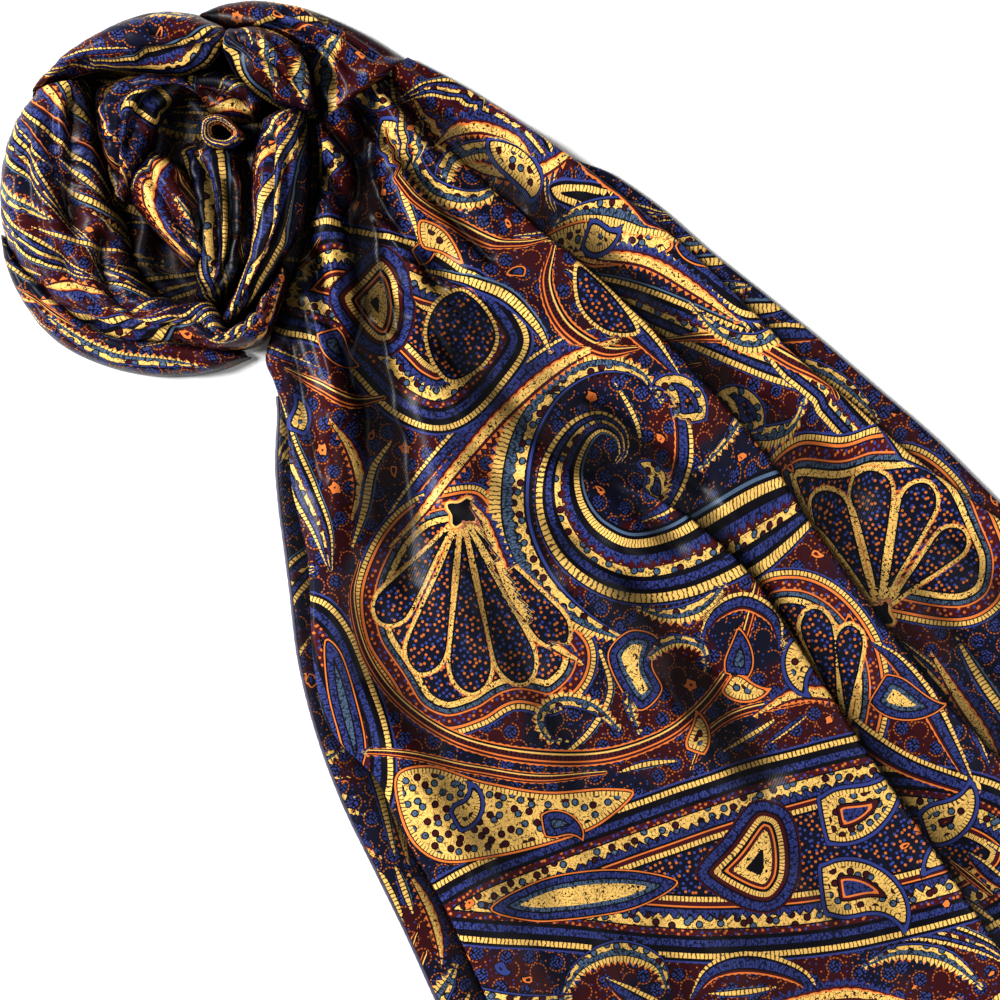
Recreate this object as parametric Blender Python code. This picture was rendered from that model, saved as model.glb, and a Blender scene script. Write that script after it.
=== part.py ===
"""A long printed scarf, wound into a rosette at one end and laid out flat at the other.

Metres, +Z up. The scarf lies on z = 0 and its length runs along +X. Widths and places below are
measured in units of U, which is 0.45 mm on the real scarf. Heights are in metres.
"""
import math
from typing import NamedTuple

import bmesh
import bpy
import numpy as np
from mathutils import Vector

U = 0.00045  # one unit of the plan tables
WALL = 0.0013  # thickness of the cloth wall
HALF = WALL / 2.0
LAY_GAP = 0.0005  # clear height between two layers that lie on each other
ROSETTE_TURN = math.radians(52.0)  # the rosette's own axes are turned this much from the scarf's
LIP = 0.008  # width of the cloth turned under at a fold edge
FOLD_LAP = 0.014  # width hidden inside a pleat
PLEAT_LIFT = 0.0032  # how far a pleat's top stands over its turned-under layer
EDGE_ROLL = 0.0026  # height of the roll at an outer fold edge
BAND_STATIONS = 22  # sections along each under-layer at the panel's edges
SECTION_POINTS = 9  # points over the top of a wound stretch
ROUNDNESS = 0.75  # below 1 a stretch is fuller than a half circle
GROOVE_STEP = 0.0035  # height from one layer's edge to the next
GROOVE_DEPTH = 0.0009
PANEL_ROLL = 0.0034  # height of the roll along the panel's own edges
END_ROLL = 0.0020  # the same roll where the panel reaches its free end
EDGE_BLEND = 0.016  # width over which that roll sinks to the panel's height
FOLD_FADE = 0.020  # width over which the soft folds run out toward an edge
PLEAT_START_LAP = 0.0020  # width hidden where a pleat only begins
PLEAT_SLOPE = 0.040  # width over which the cloth climbs to a pleat's top
HEM_WIDTH = 0.004
HEM_HEIGHT = 0.0022
HEM_STATIONS = 26
SEAM_GAP = 0.0004  # clear space between the free end and its hem


class PanelRow(NamedTuple):
    """One section across the laid panel, all in units of U."""

    x: float  # place along the scarf
    right: float  # outer edge on the right
    fold_c: float  # where the panel's right edge turns under
    fold_a: float  # the pleat nearer the right edge
    fold_b: float  # the pleat nearer the middle
    fold_left: float  # where the panel's left edge turns under
    left: float  # outer edge on the left


PANEL = (
    PanelRow(40, 273, 273, 248, 134, 163, 163),
    PanelRow(62, 284, 284, 254, 136, 149, 149),
    PanelRow(81, 293, 293, 258, 138, 134, 134),
    PanelRow(100, 301, 301, 261, 140, 115, 115),
    PanelRow(124, 310, 310, 262, 142, 86, 86),
    PanelRow(149, 320, 319, 263, 144, 56, 55),
    PanelRow(172, 329, 326, 264, 146, 24, 22),
    PanelRow(192, 337, 332, 264, 147, -9, -12),
    PanelRow(215, 346, 339, 266, 149, -17, -32),
    PanelRow(250, 360, 349, 270, 152, -32, -63),
    PanelRow(310, 379, 364, 284, 158, -74, -95),
    PanelRow(380, 393, 378, 297, 164, -112, -139),
    PanelRow(450, 410, 388, 305, 174, -162, -181),
    PanelRow(520, 426, 396, 310, 197, -196, -212),
    PanelRow(590, 440, 411, 311, 216, -191, -234),
    PanelRow(660, 454, 424, 304, 226, -205, -249),
    PanelRow(730, 463, 443, 302, 221, -215, -264),
    PanelRow(800, 472, 464, 301, 215, -231, -281),
    PanelRow(880, 486, 486, 302, 208, -252, -298),
    PanelRow(960, 500, 500, 308, 203, -275, -314),
    PanelRow(1050, 515, 515, 314, 196, -303, -333),
    PanelRow(1150, 532, 532, 322, 188, -340, -356),
    PanelRow(1250, 554, 554, 332, 180, -384, -385),
    PanelRow(1350, 578, 578, 344, 170, -412, -412),
)
PANEL_END = 1344.0
RIGHT_BAND = (222.0, 850.0)  # from and to, along the scarf
LEFT_BAND = (222.0, 1170.0)
BAND_LAP = 34.0  # how far an under-layer reaches below the panel
PLEAT_A_GROWS = (100.0, 320.0)
PLEAT_B_GROWS = (440.0, 660.0)
PLEATS_OPEN = (1110.0, 1290.0)  # the pleats lie open again toward the free end
OVER_BANDS = (150.0, 196.0)  # the panel climbs onto its under-layers here
OFF_RIGHT_BAND = (880.0, 930.0)
OFF_LEFT_BAND = (1200.0, 1260.0)
FLAT_END = (1180.0, 1330.0)  # the soft folds run out here
NECK_OPENS = (120.0, 240.0)  # the gathered neck spreads to the full panel here


class Span(NamedTuple):
    """A length of the panel and how many sections it has."""

    start: float
    end: float
    sections: int


SPANS = (
    Span(43, 180, 11),
    Span(180, 320, 5),
    Span(320, 440, 3),
    Span(440, 660, 7),
    Span(660, PANEL_END, 13),
)


class Ridge(NamedTuple):
    """One soft fold of the laid panel, from one place to another."""

    x0: float
    y0: float
    x1: float
    y1: float
    height: float  # in metres
    width: float  # half width in U


RIDGES = (
    Ridge(24, 206, 24, 206, 0.0125, 52),
    Ridge(40, 214, 160, 240, 0.0060, 20),
    Ridge(40, 182, 260, 196, 0.0060, 19),
    Ridge(60, 158, 240, 128, 0.0060, 15),
    Ridge(110, 104, 262, 58, 0.0060, 17),
    Ridge(200, 20, 330, -22, 0.0045, 18),
    Ridge(250, 190, 520, 262, 0.0040, 22),
    Ridge(330, 40, 560, 70, 0.0034, 30),
    Ridge(420, -60, 760, -118, 0.0036, 34),
    Ridge(560, 140, 840, 128, 0.0038, 26),
    Ridge(620, 20, 900, 8, 0.0030, 32),
    Ridge(820, -150, 1130, -205, 0.0034, 30),
    Ridge(860, 90, 1180, 70, 0.0032, 32),
    Ridge(700, 370, 1060, 400, 0.0034, 30),
)


class Cross(NamedTuple):
    """One section across a wound stretch.

    Plan places are in U from the rosette's middle; crest is in metres.
    """

    u0: float
    v0: float
    u1: float
    v1: float
    crest: float


OUTER_COIL = (
    Cross(-74, 111, -129, 98, 0.022),
    Cross(-64, 68, -150, 66, 0.026),
    Cross(-56, 30, -160, 30, 0.029),
    Cross(-50, -8, -163, -10, 0.028),
    Cross(-38, -42, -156, -48, 0.029),
    Cross(-30, -76, -128, -90, 0.028),
    Cross(-8, -102, -84, -127, 0.029),
    Cross(24, -110, -40, -149, 0.028),
    Cross(50, -112, 14, -151, 0.027),
    Cross(66, -136, 56, -157, 0.026),
    Cross(88, -122, 96, -150, 0.024),
    Cross(106, -92, 118, -110, 0.021),
    Cross(118, -72, 126, -80, 0.016),
)
UNDER_LAYER = (
    Cross(-160, -43, -164, -41, 0.006),
    Cross(-148, -72, -156, -76, 0.011),
    Cross(-124, -99, -138, -112, 0.014),
    Cross(-88, -131, -106, -148, 0.016),
    Cross(-43, -153, -54, -173, 0.016),
    Cross(14, -155, 14, -182, 0.015),
    Cross(58, -161, 62, -174, 0.012),
    Cross(82, -160, 86, -164, 0.007),
)
TOP_STRAND = (
    Cross(-121, 101.6, -129, 101, 0.017),
    Cross(-96, 112, -106, 126, 0.028),
    Cross(-66, 121, -76, 150, 0.035),
    Cross(-30, 120, -36, 172, 0.038),
    Cross(6, 117, 4, 180, 0.038),
    Cross(32, 118, 38, 176, 0.035),
    Cross(54, 130, 60, 164, 0.030),
    Cross(63, 143, 67, 158, 0.025),
)
NECK_STRAND = (
    Cross(63.4, 134.6, 69.4, 160.4, 0.028),
    Cross(82, 112, 98, 159, 0.034),
    Cross(101, 98, 126, 146, 0.034),
    Cross(122, 87, 143, 124, 0.030),
    Cross(141, 80, 151, 96, 0.023),
)
NECK_BACK = (
    Cross(38, 179, 42, 183, 0.007),
    Cross(58, 169, 64, 190, 0.012),
    Cross(84, 163, 92, 193, 0.015),
    Cross(112, 157, 124, 189, 0.017),
    Cross(136, 143, 156, 180, 0.019),
    Cross(152, 125, 192, 164, 0.019),
    Cross(158, 100, 216, 150, 0.019),
    Cross(162.2, 73.9, 239.2, 133.9, 0.017),
)
RIGHT_STRAND = (
    Cross(99, 68, 142.5, 78.4, 0.024),
    Cross(94, 32, 145, 36, 0.031),
    Cross(94, -5, 142, -2, 0.033),
    Cross(96, -35, 134, -40, 0.032),
    Cross(92, -65, 117, -67, 0.030),
    Cross(79, -95, 97, -99, 0.026),
    Cross(60, -125, 67, -130, 0.016),
)
MIDDLE_COIL = (
    Cross(-49, -4, -34, -8, 0.018),
    Cross(-53.8, 30, -26, 28, 0.025),
    Cross(-61.2, 66, -14, 62, 0.029),
    Cross(-60, 101, -2, 86, 0.029),
    Cross(-22, 116.4, 16, 97, 0.027),
    Cross(16, 115.5, 34, 96, 0.024),
)
INNER_FOLD = (
    Cross(18, 115, 34.9, 96.8, 0.020),
    Cross(60, 117, 50, 86, 0.022),
    Cross(81, 110.2, 68, 78, 0.023),
    Cross(99.4, 97.2, 86, 72, 0.020),
)
INNER_COIL = (
    Cross(20, 40, 84, 38.8, 0.016),
    Cross(34, 12, 92.4, 8, 0.020),
    Cross(40, -14, 93.2, -18, 0.021),
    Cross(42, -46, 92.4, -48, 0.021),
    Cross(40, -80, 78, -82, 0.018),
    Cross(34, -100, 60, -106, 0.012),
)
CORE_ROLL = (
    Cross(-18, 40, -6, 42, 0.012),
    Cross(-28.4, 14, 15, 22, 0.023),
    Cross(-26, -6, 32, -8, 0.025),
    Cross(-12, -28, 39.6, -36, 0.025),
    Cross(8, -52, 39, -62, 0.021),
    Cross(22, -72, 32, -76, 0.012),
)
LOOP_CENTRE = (60.0, 57.0)
LOOP_OUTER = (22.0, 16.0)  # half sizes of the small rolled loop
LOOP_HOLE = (12.0, 8.0)
LOOP_TURN = math.radians(-20.0)
LOOP_HEIGHT = 0.027


def smooth(value):
    """Ease from 0 to 1 with level ends."""
    t = np.clip(value, 0.0, 1.0)
    return t * t * (3.0 - 2.0 * t)


def ramp(value, span):
    """Go evenly from 0 to 1 while value crosses the span."""
    return float(np.clip((value - span[0]) / (span[1] - span[0]), 0.0, 1.0))


def rise(value, span):
    """Ease from 0 to 1 while value crosses the span."""
    return smooth((value - span[0]) / (span[1] - span[0]))


def panel_row(x):
    """The panel's section lines at x, in metres."""
    xs = np.array([row.x for row in PANEL])
    names = ("right", "fold_c", "fold_a", "fold_b", "fold_left", "left")
    out = {}
    for name in names:
        ys = np.array([getattr(row, name) for row in PANEL])
        slopes = np.gradient(ys, xs)
        k = int(np.clip(np.searchsorted(xs, x) - 1, 0, len(xs) - 2))
        step = xs[k + 1] - xs[k]
        t = (x - xs[k]) / step
        value = (
            (2 * t**3 - 3 * t**2 + 1) * ys[k]
            + (t**3 - 2 * t**2 + t) * step * slopes[k]
            + (3 * t**2 - 2 * t**3) * ys[k + 1]
            + (t**3 - t**2) * step * slopes[k + 1]
        )
        out[name] = float(value) * U
    return out


def spin(u, v):
    """A place in the rosette's own axes, turned into the scarf's axes, in metres."""
    c, s = math.cos(ROSETTE_TURN), math.sin(ROSETTE_TURN)
    return (c * u - s * v) * U, (s * u + c * v) * U


def resample(rows, count):
    """Sections evenly spaced along a table of rows, on a smooth curve through them."""
    table = np.array(rows, dtype=float)
    middle = (table[:, 0:2] + table[:, 2:4]) / 2.0
    steps = np.linalg.norm(np.diff(middle, axis=0), axis=1)
    along = np.concatenate(([0.0], np.cumsum(steps)))
    slopes = np.array([np.gradient(table[:, c], along) for c in range(table.shape[1])]).T
    out = []
    for place in np.linspace(0.0, along[-1], count):
        k = int(np.clip(np.searchsorted(along, place) - 1, 0, len(along) - 2))
        step = along[k + 1] - along[k]
        t = (place - along[k]) / step
        out.append(
            (2 * t**3 - 3 * t**2 + 1) * table[k]
            + (t**3 - 2 * t**2 + t) * step * slopes[k]
            + (3 * t**2 - 2 * t**3) * table[k + 1]
            + (t**3 - t**2) * step * slopes[k + 1]
        )
    return np.array(out)


def make_material(name, colour, roughness):
    """A plain cloth material."""
    material = bpy.data.materials.new(name)
    material.use_nodes = True
    shader = material.node_tree.nodes["Principled BSDF"]
    shader.inputs["Base Color"].default_value = (*colour, 1.0)
    shader.inputs["Roughness"].default_value = roughness
    shader.inputs["Metallic"].default_value = 0.0
    return material


def make_object(name, points, faces, colour, roughness):
    """One closed body with smooth shading and its own material."""
    mesh = bpy.data.meshes.new(name)
    mesh.from_pydata([tuple(p) for p in points], [], faces)
    work = bmesh.new()
    work.from_mesh(mesh)
    bmesh.ops.recalc_face_normals(work, faces=work.faces)
    for face in work.faces:
        face.smooth = True
    work.to_mesh(mesh)
    work.free()
    mesh.materials.append(make_material(name + "_cloth", colour, roughness))
    body = bpy.data.objects.new(name, mesh)
    bpy.context.scene.collection.objects.link(body)
    return body


def grid_normals(grid):
    """Unit normals of a grid of points, from its neighbours along and across."""
    along = np.gradient(grid, axis=0)
    across = np.gradient(grid, axis=1)
    normals = np.cross(along, across)
    length = np.linalg.norm(normals, axis=2, keepdims=True)
    return normals / np.maximum(length, 1e-9)


def wall_from_grid(name, grid, colour, roughness):
    """A cloth wall with the grid as its middle surface."""
    normals = grid_normals(grid)
    rows, cols = grid.shape[:2]
    upper = (grid + normals * HALF).reshape(-1, 3)
    lower = (grid - normals * HALF).reshape(-1, 3)
    points = np.vstack((upper, lower))
    shift = rows * cols
    faces = []
    for i in range(rows - 1):
        for j in range(cols - 1):
            a = i * cols + j
            b = a + 1
            c = a + cols + 1
            d = a + cols
            faces.append((a, b, c, d))
            faces.append((shift + d, shift + c, shift + b, shift + a))
    rim = list(range(cols))
    rim += [i * cols + cols - 1 for i in range(1, rows)]
    rim += [(rows - 1) * cols + j for j in range(cols - 2, -1, -1)]
    rim += [i * cols for i in range(rows - 2, 0, -1)]
    for k, a in enumerate(rim):
        b = rim[(k + 1) % len(rim)]
        faces.append((a, shift + a, shift + b, b))
    return make_object(name, points, faces, colour, roughness)


def ridge_height(x, y):
    """The soft folds of the panel at a place given in U."""
    total = 0.0
    for ridge in RIDGES:
        dx = ridge.x1 - ridge.x0
        dy = ridge.y1 - ridge.y0
        length = math.hypot(dx, dy)
        if length < 1.0:
            along = 0.5
            off = math.hypot(x - ridge.x0, y - ridge.y0)
        else:
            along = ((x - ridge.x0) * dx + (y - ridge.y0) * dy) / length**2
            t = min(max(along, 0.0), 1.0)
            off = math.hypot(x - ridge.x0 - t * dx, y - ridge.y0 - t * dy)
        fade = 1.0 - 0.45 * min(max(along, 0.0), 1.0)
        total += ridge.height * fade * math.exp(-((off / ridge.width) ** 2))
    return total


def pleat(y_fold, z_low, grow, reach):
    """The path of the cloth through one pleat, from its raised side to its low side.

    The cloth comes in on the left, turns back under itself and goes on to the right. Where the
    pleat only begins, the path is a plain step that spreads over reach.
    """
    lift = smooth(grow / 0.4)
    turned = float(np.clip((grow - 0.25) / 0.35, 0.0, 1.0))
    deep = float(np.clip((grow - 0.55) / 0.45, 0.0, 1.0))
    lap = PLEAT_START_LAP + (FOLD_LAP - PLEAT_START_LAP) * deep
    z_mid = z_low + (WALL + LAY_GAP)
    z_top = z_mid + PLEAT_LIFT
    round_out = (z_top - z_mid) / 2.0
    round_in = (z_mid - z_low) / 2.0
    folded = [
        (y_fold - 3.2 * round_out, z_top),
        (y_fold - round_out, z_top),
        (y_fold - 0.3 * round_out, z_top - 0.3 * round_out),
        (y_fold, z_top - round_out),
        (y_fold - 0.3 * round_out, z_mid + 0.3 * round_out),
        (y_fold - round_out, z_mid),
        (y_fold - lap, z_mid),
        (y_fold - lap - 0.9 * round_in, z_mid - round_in),
        (y_fold - lap, z_low),
        (y_fold - 0.5 * lap, z_low),
        (y_fold + 0.002, z_low),
    ]
    last = len(folded) - 1
    plain = []
    for k in range(len(folded)):
        t = k / last
        z = z_low + (z_top - z_low) * (1.0 - smooth(t)) * lift
        plain.append((y_fold - reach + 1.22 * reach * t, z))
    return [
        (p[0] + (f[0] - p[0]) * turned, p[1] + (f[1] - p[1]) * turned)
        for p, f in zip(plain, folded)
    ]


def edge_turn(side, y_edge, z_low, roll, lip):
    """A fold edge: the cloth turned under for a short way, listed from the hidden end up.

    side is +1 for a right edge and -1 for a left edge.
    """
    half = roll / 2.0
    return [
        (y_edge - side * lip, z_low),
        (y_edge - side * half, z_low),
        (y_edge - side * 0.3 * half, z_low + 0.3 * half),
        (y_edge, z_low + half),
        (y_edge - side * 0.3 * half, z_low + roll - 0.3 * half),
        (y_edge - side * half, z_low + roll),
    ]


def band_height(distance, reach):
    """Height of an under-layer's middle surface at a distance in from its outer edge."""
    down = smooth((distance - LIP - 0.003) / max(reach - LIP - 0.006, 0.004))
    return HALF + EDGE_ROLL * (1.0 - down)


def panel_section(x):
    """The path of the laid panel at x (in U), as places across and heights in metres."""
    row = panel_row(x)
    shut = 1.0 - ramp(x, PLEATS_OPEN)
    grow_a = ramp(x, PLEAT_A_GROWS) * shut
    grow_b = ramp(x, PLEAT_B_GROWS) * shut
    pleat_step = WALL + LAY_GAP + PLEAT_LIFT
    step_a = pleat_step * float(smooth(grow_a / 0.4))
    step_b = pleat_step * float(smooth(grow_b / 0.4))
    on_right = float(rise(x, OVER_BANDS) * (1.0 - rise(x, OFF_RIGHT_BAND)))
    on_left = float(rise(x, OVER_BANDS) * (1.0 - rise(x, OFF_LEFT_BAND)))
    over_right = (EDGE_ROLL + WALL + LAY_GAP) * on_right
    over_left = (EDGE_ROLL + WALL + LAY_GAP) * on_left
    right_end = row["fold_c"]
    left_end = row["fold_left"]
    free = 1.0 - float(rise(x, FLAT_END))
    neck = 1.0 - float(rise(x, NECK_OPENS))
    roll = END_ROLL + (PANEL_ROLL - END_ROLL) * free
    lap = BAND_LAP * U + 0.006

    def folds(y):
        """Height of the soft folds; they run out to the panel's edges only near the rosette."""
        edge = float(smooth((right_end - y) / FOLD_FADE) * smooth((y - left_end) / FOLD_FADE))
        return ridge_height(x, y / U) * free * (edge + (1.0 - edge) * neck)

    def ground(y):
        """Height of the panel's middle surface away from its pleats and edges."""
        near_right = 1.0 - smooth((right_end - y - 0.010) / lap)
        near_left = 1.0 - smooth((y - left_end - 0.010) / lap)
        z = HALF + over_right * near_right + over_left * near_left + folds(y)
        z += roll * (1.0 - smooth((right_end - y - 0.006) / EDGE_BLEND))
        z += roll * (1.0 - smooth((y - left_end - 0.006) / EDGE_BLEND))
        return float(z)

    def raised(y, y_fold, step):
        """How far the cloth has climbed toward a pleat's top."""
        return step * float(smooth((y - (y_fold - 0.050)) / PLEAT_SLOPE))

    lip = min(LIP, 0.3 * (right_end - left_end)) * (1.0 - 0.7 * neck)
    path = edge_turn(-1.0, left_end, HALF + over_left + folds(left_end), roll, lip)
    start = path[-1][0] + 0.0006
    stop = right_end - roll / 2.0 - 0.0006
    width = stop - start
    reach = min(0.009, width / 7.0)
    fold_b = max(row["fold_b"], start + min(0.38 * width, 0.030))
    fold_a = max(row["fold_a"], fold_b + min(0.24 * width, 0.020))
    fold_a = min(fold_a, stop - min(0.12 * width, 0.006))
    for t in np.linspace(0.06, 0.97, 12):
        y = start + (fold_b - 1.05 * reach - start) * t
        path.append((y, ground(y) + raised(y, fold_b, step_b)))
    path += pleat(fold_b, ground(fold_b), grow_b, reach)
    last = path[-1][0]
    for t in (0.15, 0.4, 0.65, 0.9):
        y = last + (fold_a - 1.05 * reach - last) * t
        path.append((y, ground(y) + raised(y, fold_a, step_a)))
    path += pleat(fold_a, ground(fold_a), grow_a, reach)
    last = path[-1][0]
    for t in (0.2, 0.45, 0.7, 0.95):
        y = last + (stop - last) * t
        path.append((y, ground(y)))
    right_turn = edge_turn(1.0, right_end, HALF + over_right + folds(right_end), roll, lip)
    path += list(reversed(right_turn))
    return path


def build_panel():
    """The laid panel with both pleats, from the neck to the free end."""
    places = [SPANS[0].start]
    for span in SPANS:
        places += list(np.linspace(span.start, span.end, span.sections + 1))[1:]
    sections = []
    for x in places:
        path = panel_section(float(x))
        sections.append([(x * U, y, z) for y, z in path])
    return wall_from_grid("main_panel", np.array(sections), (0.060, 0.052, 0.150), 0.42)


def build_band(name, side, span, colour):
    """The layer that shows as a narrow strip below one edge of the panel."""
    sections = []
    for x in np.linspace(span[0], span[1], BAND_STATIONS):
        row = panel_row(float(x))
        outer = row["right"] if side > 0 else row["left"]
        cover = row["fold_c"] if side > 0 else row["fold_left"]
        ends = min(x - span[0], span[1] - x)
        outer -= side * 0.0030 * (1.0 - float(smooth(ends / 40.0)))
        shown = max(side * (outer - cover), 0.001)
        reach = shown + BAND_LAP * U
        path = edge_turn(side, outer, HALF, EDGE_ROLL, LIP)
        for t in (0.15, 0.32, 0.5, 0.68, 0.85, 1.0):
            distance = EDGE_ROLL + (reach - EDGE_ROLL) * t
            path.append((outer - side * distance, band_height(distance, reach)))
        if side < 0:
            path.reverse()
        sections.append([(x * U, y, z) for y, z in path])
    return wall_from_grid(name, np.array(sections), colour, 0.42)


def build_hem():
    """The rolled hem along the free end."""
    x_end = PANEL_END * U + SEAM_GAP
    path = panel_section(PANEL_END)
    ys = [p[0] for p in path]
    points, faces = [], []
    profile = (
        (0.0, 0.0),
        (0.0, 0.75),
        (0.3, 1.0),
        (0.7, 1.0),
        (1.0, 0.7),
        (1.0, 0.0),
    )
    for y in np.linspace(min(ys), max(ys), HEM_STATIONS):
        for px, pz in profile:
            points.append((x_end + px * HEM_WIDTH, y, pz * HEM_HEIGHT))
    n = len(profile)
    for i in range(HEM_STATIONS - 1):
        for j in range(n):
            k = (j + 1) % n
            faces.append((i * n + j, i * n + k, (i + 1) * n + k, (i + 1) * n + j))
    faces.append(tuple(range(n)))
    faces.append(tuple((HEM_STATIONS - 1) * n + j for j in range(n)))
    return make_object("free_end_hem", points, faces, (0.075, 0.055, 0.130), 0.45)


def build_stretch(name, rows, stations, colour, steps=0):
    """A wound stretch of the scarf: a rounded roll with a flat underside.

    steps adds shallow grooves low on its second side, where the edges of its layers show.
    """
    table = resample(rows, stations)
    profile = []
    for k in range(SECTION_POINTS):
        turn = math.pi * k / (SECTION_POINTS - 1)
        profile.append(((1.0 - math.cos(turn)) / 2.0, math.sin(turn) ** ROUNDNESS))
    grooves = []
    for s in range(steps, 0, -1):
        grooves.append((0.0, GROOVE_STEP * s + 0.0012))
        grooves.append((GROOVE_DEPTH, GROOVE_STEP * s))
    count = SECTION_POINTS + len(grooves)
    points, faces = [], []
    for row in table:
        a = Vector(spin(row[0], row[1]))
        b = Vector(spin(row[2], row[3]))
        across = b - a
        unit = across.normalized()
        for s, h in profile[:-1]:
            place = a + across * s
            points.append((place.x, place.y, row[4] * h))
        for inset, level in grooves:
            place = b - unit * inset
            points.append((place.x, place.y, level * min(1.0, row[4] / 0.02)))
        points.append((b.x, b.y, 0.0))
    for i in range(stations - 1):
        for j in range(count):
            k = (j + 1) % count
            faces.append((i * count + j, i * count + k, (i + 1) * count + k, (i + 1) * count + j))
    faces.append(tuple(range(count)))
    faces.append(tuple((stations - 1) * count + j for j in range(count)))
    return make_object(name, points, faces, colour, 0.42)


def build_loop():
    """The small roll of cloth that stands with its opening upward."""
    around = 24
    mid = tuple((o + h) / 2.0 for o, h in zip(LOOP_OUTER, LOOP_HOLE))
    rings = (
        (LOOP_OUTER, 0.0),
        (LOOP_OUTER, LOOP_HEIGHT * 0.88),
        (mid, LOOP_HEIGHT),
        (LOOP_HOLE, LOOP_HEIGHT * 0.88),
        (LOOP_HOLE, 0.0),
    )
    c, s = math.cos(LOOP_TURN), math.sin(LOOP_TURN)
    points, faces = [], []
    for (ru, rv), z in rings:
        for k in range(around):
            turn = 2.0 * math.pi * k / around
            u = ru * math.cos(turn)
            v = rv * math.sin(turn)
            place = spin(LOOP_CENTRE[0] + c * u - s * v, LOOP_CENTRE[1] + s * u + c * v)
            points.append((place[0], place[1], z))
    total = len(rings)
    for i in range(total):
        n = (i + 1) % total
        for k in range(around):
            m = (k + 1) % around
            faces.append((i * around + k, i * around + m, n * around + m, n * around + k))
    return make_object("inner_loop", points, faces, (0.110, 0.060, 0.075), 0.42)


def put_on_origin(bodies):
    """Move everything so that the middle of the underside is at the origin."""
    points = [v.co for body in bodies for v in body.data.vertices]
    low = [min(p[i] for p in points) for i in range(3)]
    high = [max(p[i] for p in points) for i in range(3)]
    move = Vector((-(low[0] + high[0]) / 2.0, -(low[1] + high[1]) / 2.0, -low[2]))
    for body in bodies:
        for vertex in body.data.vertices:
            vertex.co += move
        body.data.update()


def main():
    """Build every piece of the scarf."""
    for old in list(bpy.data.objects):
        bpy.data.objects.remove(old, do_unlink=True)
    navy = (0.055, 0.055, 0.160)
    maroon = (0.110, 0.040, 0.060)
    gold = (0.300, 0.190, 0.075)
    bodies = [
        build_panel(),
        build_band("right_underlayer", 1.0, RIGHT_BAND, maroon),
        build_band("left_underlayer", -1.0, LEFT_BAND, maroon),
        build_hem(),
        build_stretch("outer_coil", OUTER_COIL, 40, navy),
        build_stretch("coil_underlayer", UNDER_LAYER, 22, maroon),
        build_stretch("top_strand", TOP_STRAND, 20, gold, steps=2),
        build_stretch("neck_strand", NECK_STRAND, 14, navy),
        build_stretch("neck_back", NECK_BACK, 18, navy),
        build_stretch("right_strand", RIGHT_STRAND, 20, gold),
        build_stretch("middle_coil", MIDDLE_COIL, 18, navy),
        build_stretch("inner_fold", INNER_FOLD, 10, maroon),
        build_stretch("inner_coil", INNER_COIL, 16, maroon),
        build_stretch("core_roll", CORE_ROLL, 14, gold),
        build_loop(),
    ]
    put_on_origin(bodies)


main()
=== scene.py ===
"""Looks of a long printed scarf: one end wound into a rosette, the rest laid out in soft pleats.

Places on the cloth are in units of U, 0.45 mm on the real scarf, and heights are in metres. The
print is drawn in the flat cloth's own places, so that it breaks at each pleat as real cloth does.
"""

import logging
import math
import re
from dataclasses import dataclass, field
from enum import Enum
from typing import Any, Iterable, NamedTuple, Optional

import bpy
import numpy as np
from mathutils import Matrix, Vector

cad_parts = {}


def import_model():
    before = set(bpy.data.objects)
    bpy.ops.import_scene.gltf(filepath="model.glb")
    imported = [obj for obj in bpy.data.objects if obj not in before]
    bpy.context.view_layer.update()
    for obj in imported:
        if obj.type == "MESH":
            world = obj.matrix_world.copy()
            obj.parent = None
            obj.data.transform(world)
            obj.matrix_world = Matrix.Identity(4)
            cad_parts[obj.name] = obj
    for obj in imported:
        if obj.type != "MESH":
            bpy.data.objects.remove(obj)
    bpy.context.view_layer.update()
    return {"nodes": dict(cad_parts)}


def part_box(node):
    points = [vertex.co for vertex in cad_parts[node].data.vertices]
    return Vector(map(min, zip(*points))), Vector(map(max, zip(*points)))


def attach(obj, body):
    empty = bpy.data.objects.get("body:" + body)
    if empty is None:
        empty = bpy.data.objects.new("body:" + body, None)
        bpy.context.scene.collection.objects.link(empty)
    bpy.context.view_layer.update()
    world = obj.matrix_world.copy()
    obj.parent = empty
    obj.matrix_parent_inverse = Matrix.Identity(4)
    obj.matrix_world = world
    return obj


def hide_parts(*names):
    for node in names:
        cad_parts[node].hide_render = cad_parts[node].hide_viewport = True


LOG = logging.getLogger("scarf")
U = 0.00045
WALL = 0.0013
HALF = WALL / 2.0
LAY_GAP = 0.0005
TURN = math.radians(52.0)
HUB = (165.0, 195.0)  # the rosette's middle on the picture's plan
PLEAT_HIDES = 72.0  # cloth hidden in one full pleat
FIRST_HIDES, SECOND_HIDES = (530.0, 660.0), (195.0, 335.0)  # where each comes to hide so much
BAND_LAP, LIP, START_LAP, FOLD_LAP = 34.0, 0.008, 0.0020, 0.014
PLEAT_LIFT, EDGE_ROLL, PANEL_ROLL, END_ROLL = 0.0032, 0.0026, 0.0034, 0.0020
HEM_WIDTH, HEM_HEIGHT, HEM_STITCH, SEAM_GAP = 0.004, 0.0022, 0.0042, 0.0004
SIDE_HEM_RADIUS, SIDE_HEM_HEIGHT, SIDE_HEM_STITCH = 0.0009, 0.0021, 0.0032
ROUNDNESS = 0.75  # below 1 a wound stretch is fuller than a half circle
REST_ROUNDING = 0.0009
PANEL_CUT, UNDERLAY, LOOP_HEIGHT = (0.50, 0.60), 0.15, 0.045  # stated sizes in metres
LAYERS = 6  # printed motifs lie over each other in as many layers
OUTLINE_REACH = 80.0  # bands are measured over this many U
CROWN = slice(15, 30)  # the columns along a wound stretch's crest

Grid = np.ndarray
Rows = tuple[tuple[float, ...], ...]
Span = tuple[float, float]
Stops = list[tuple[float, tuple[float, ...]]]


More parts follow.
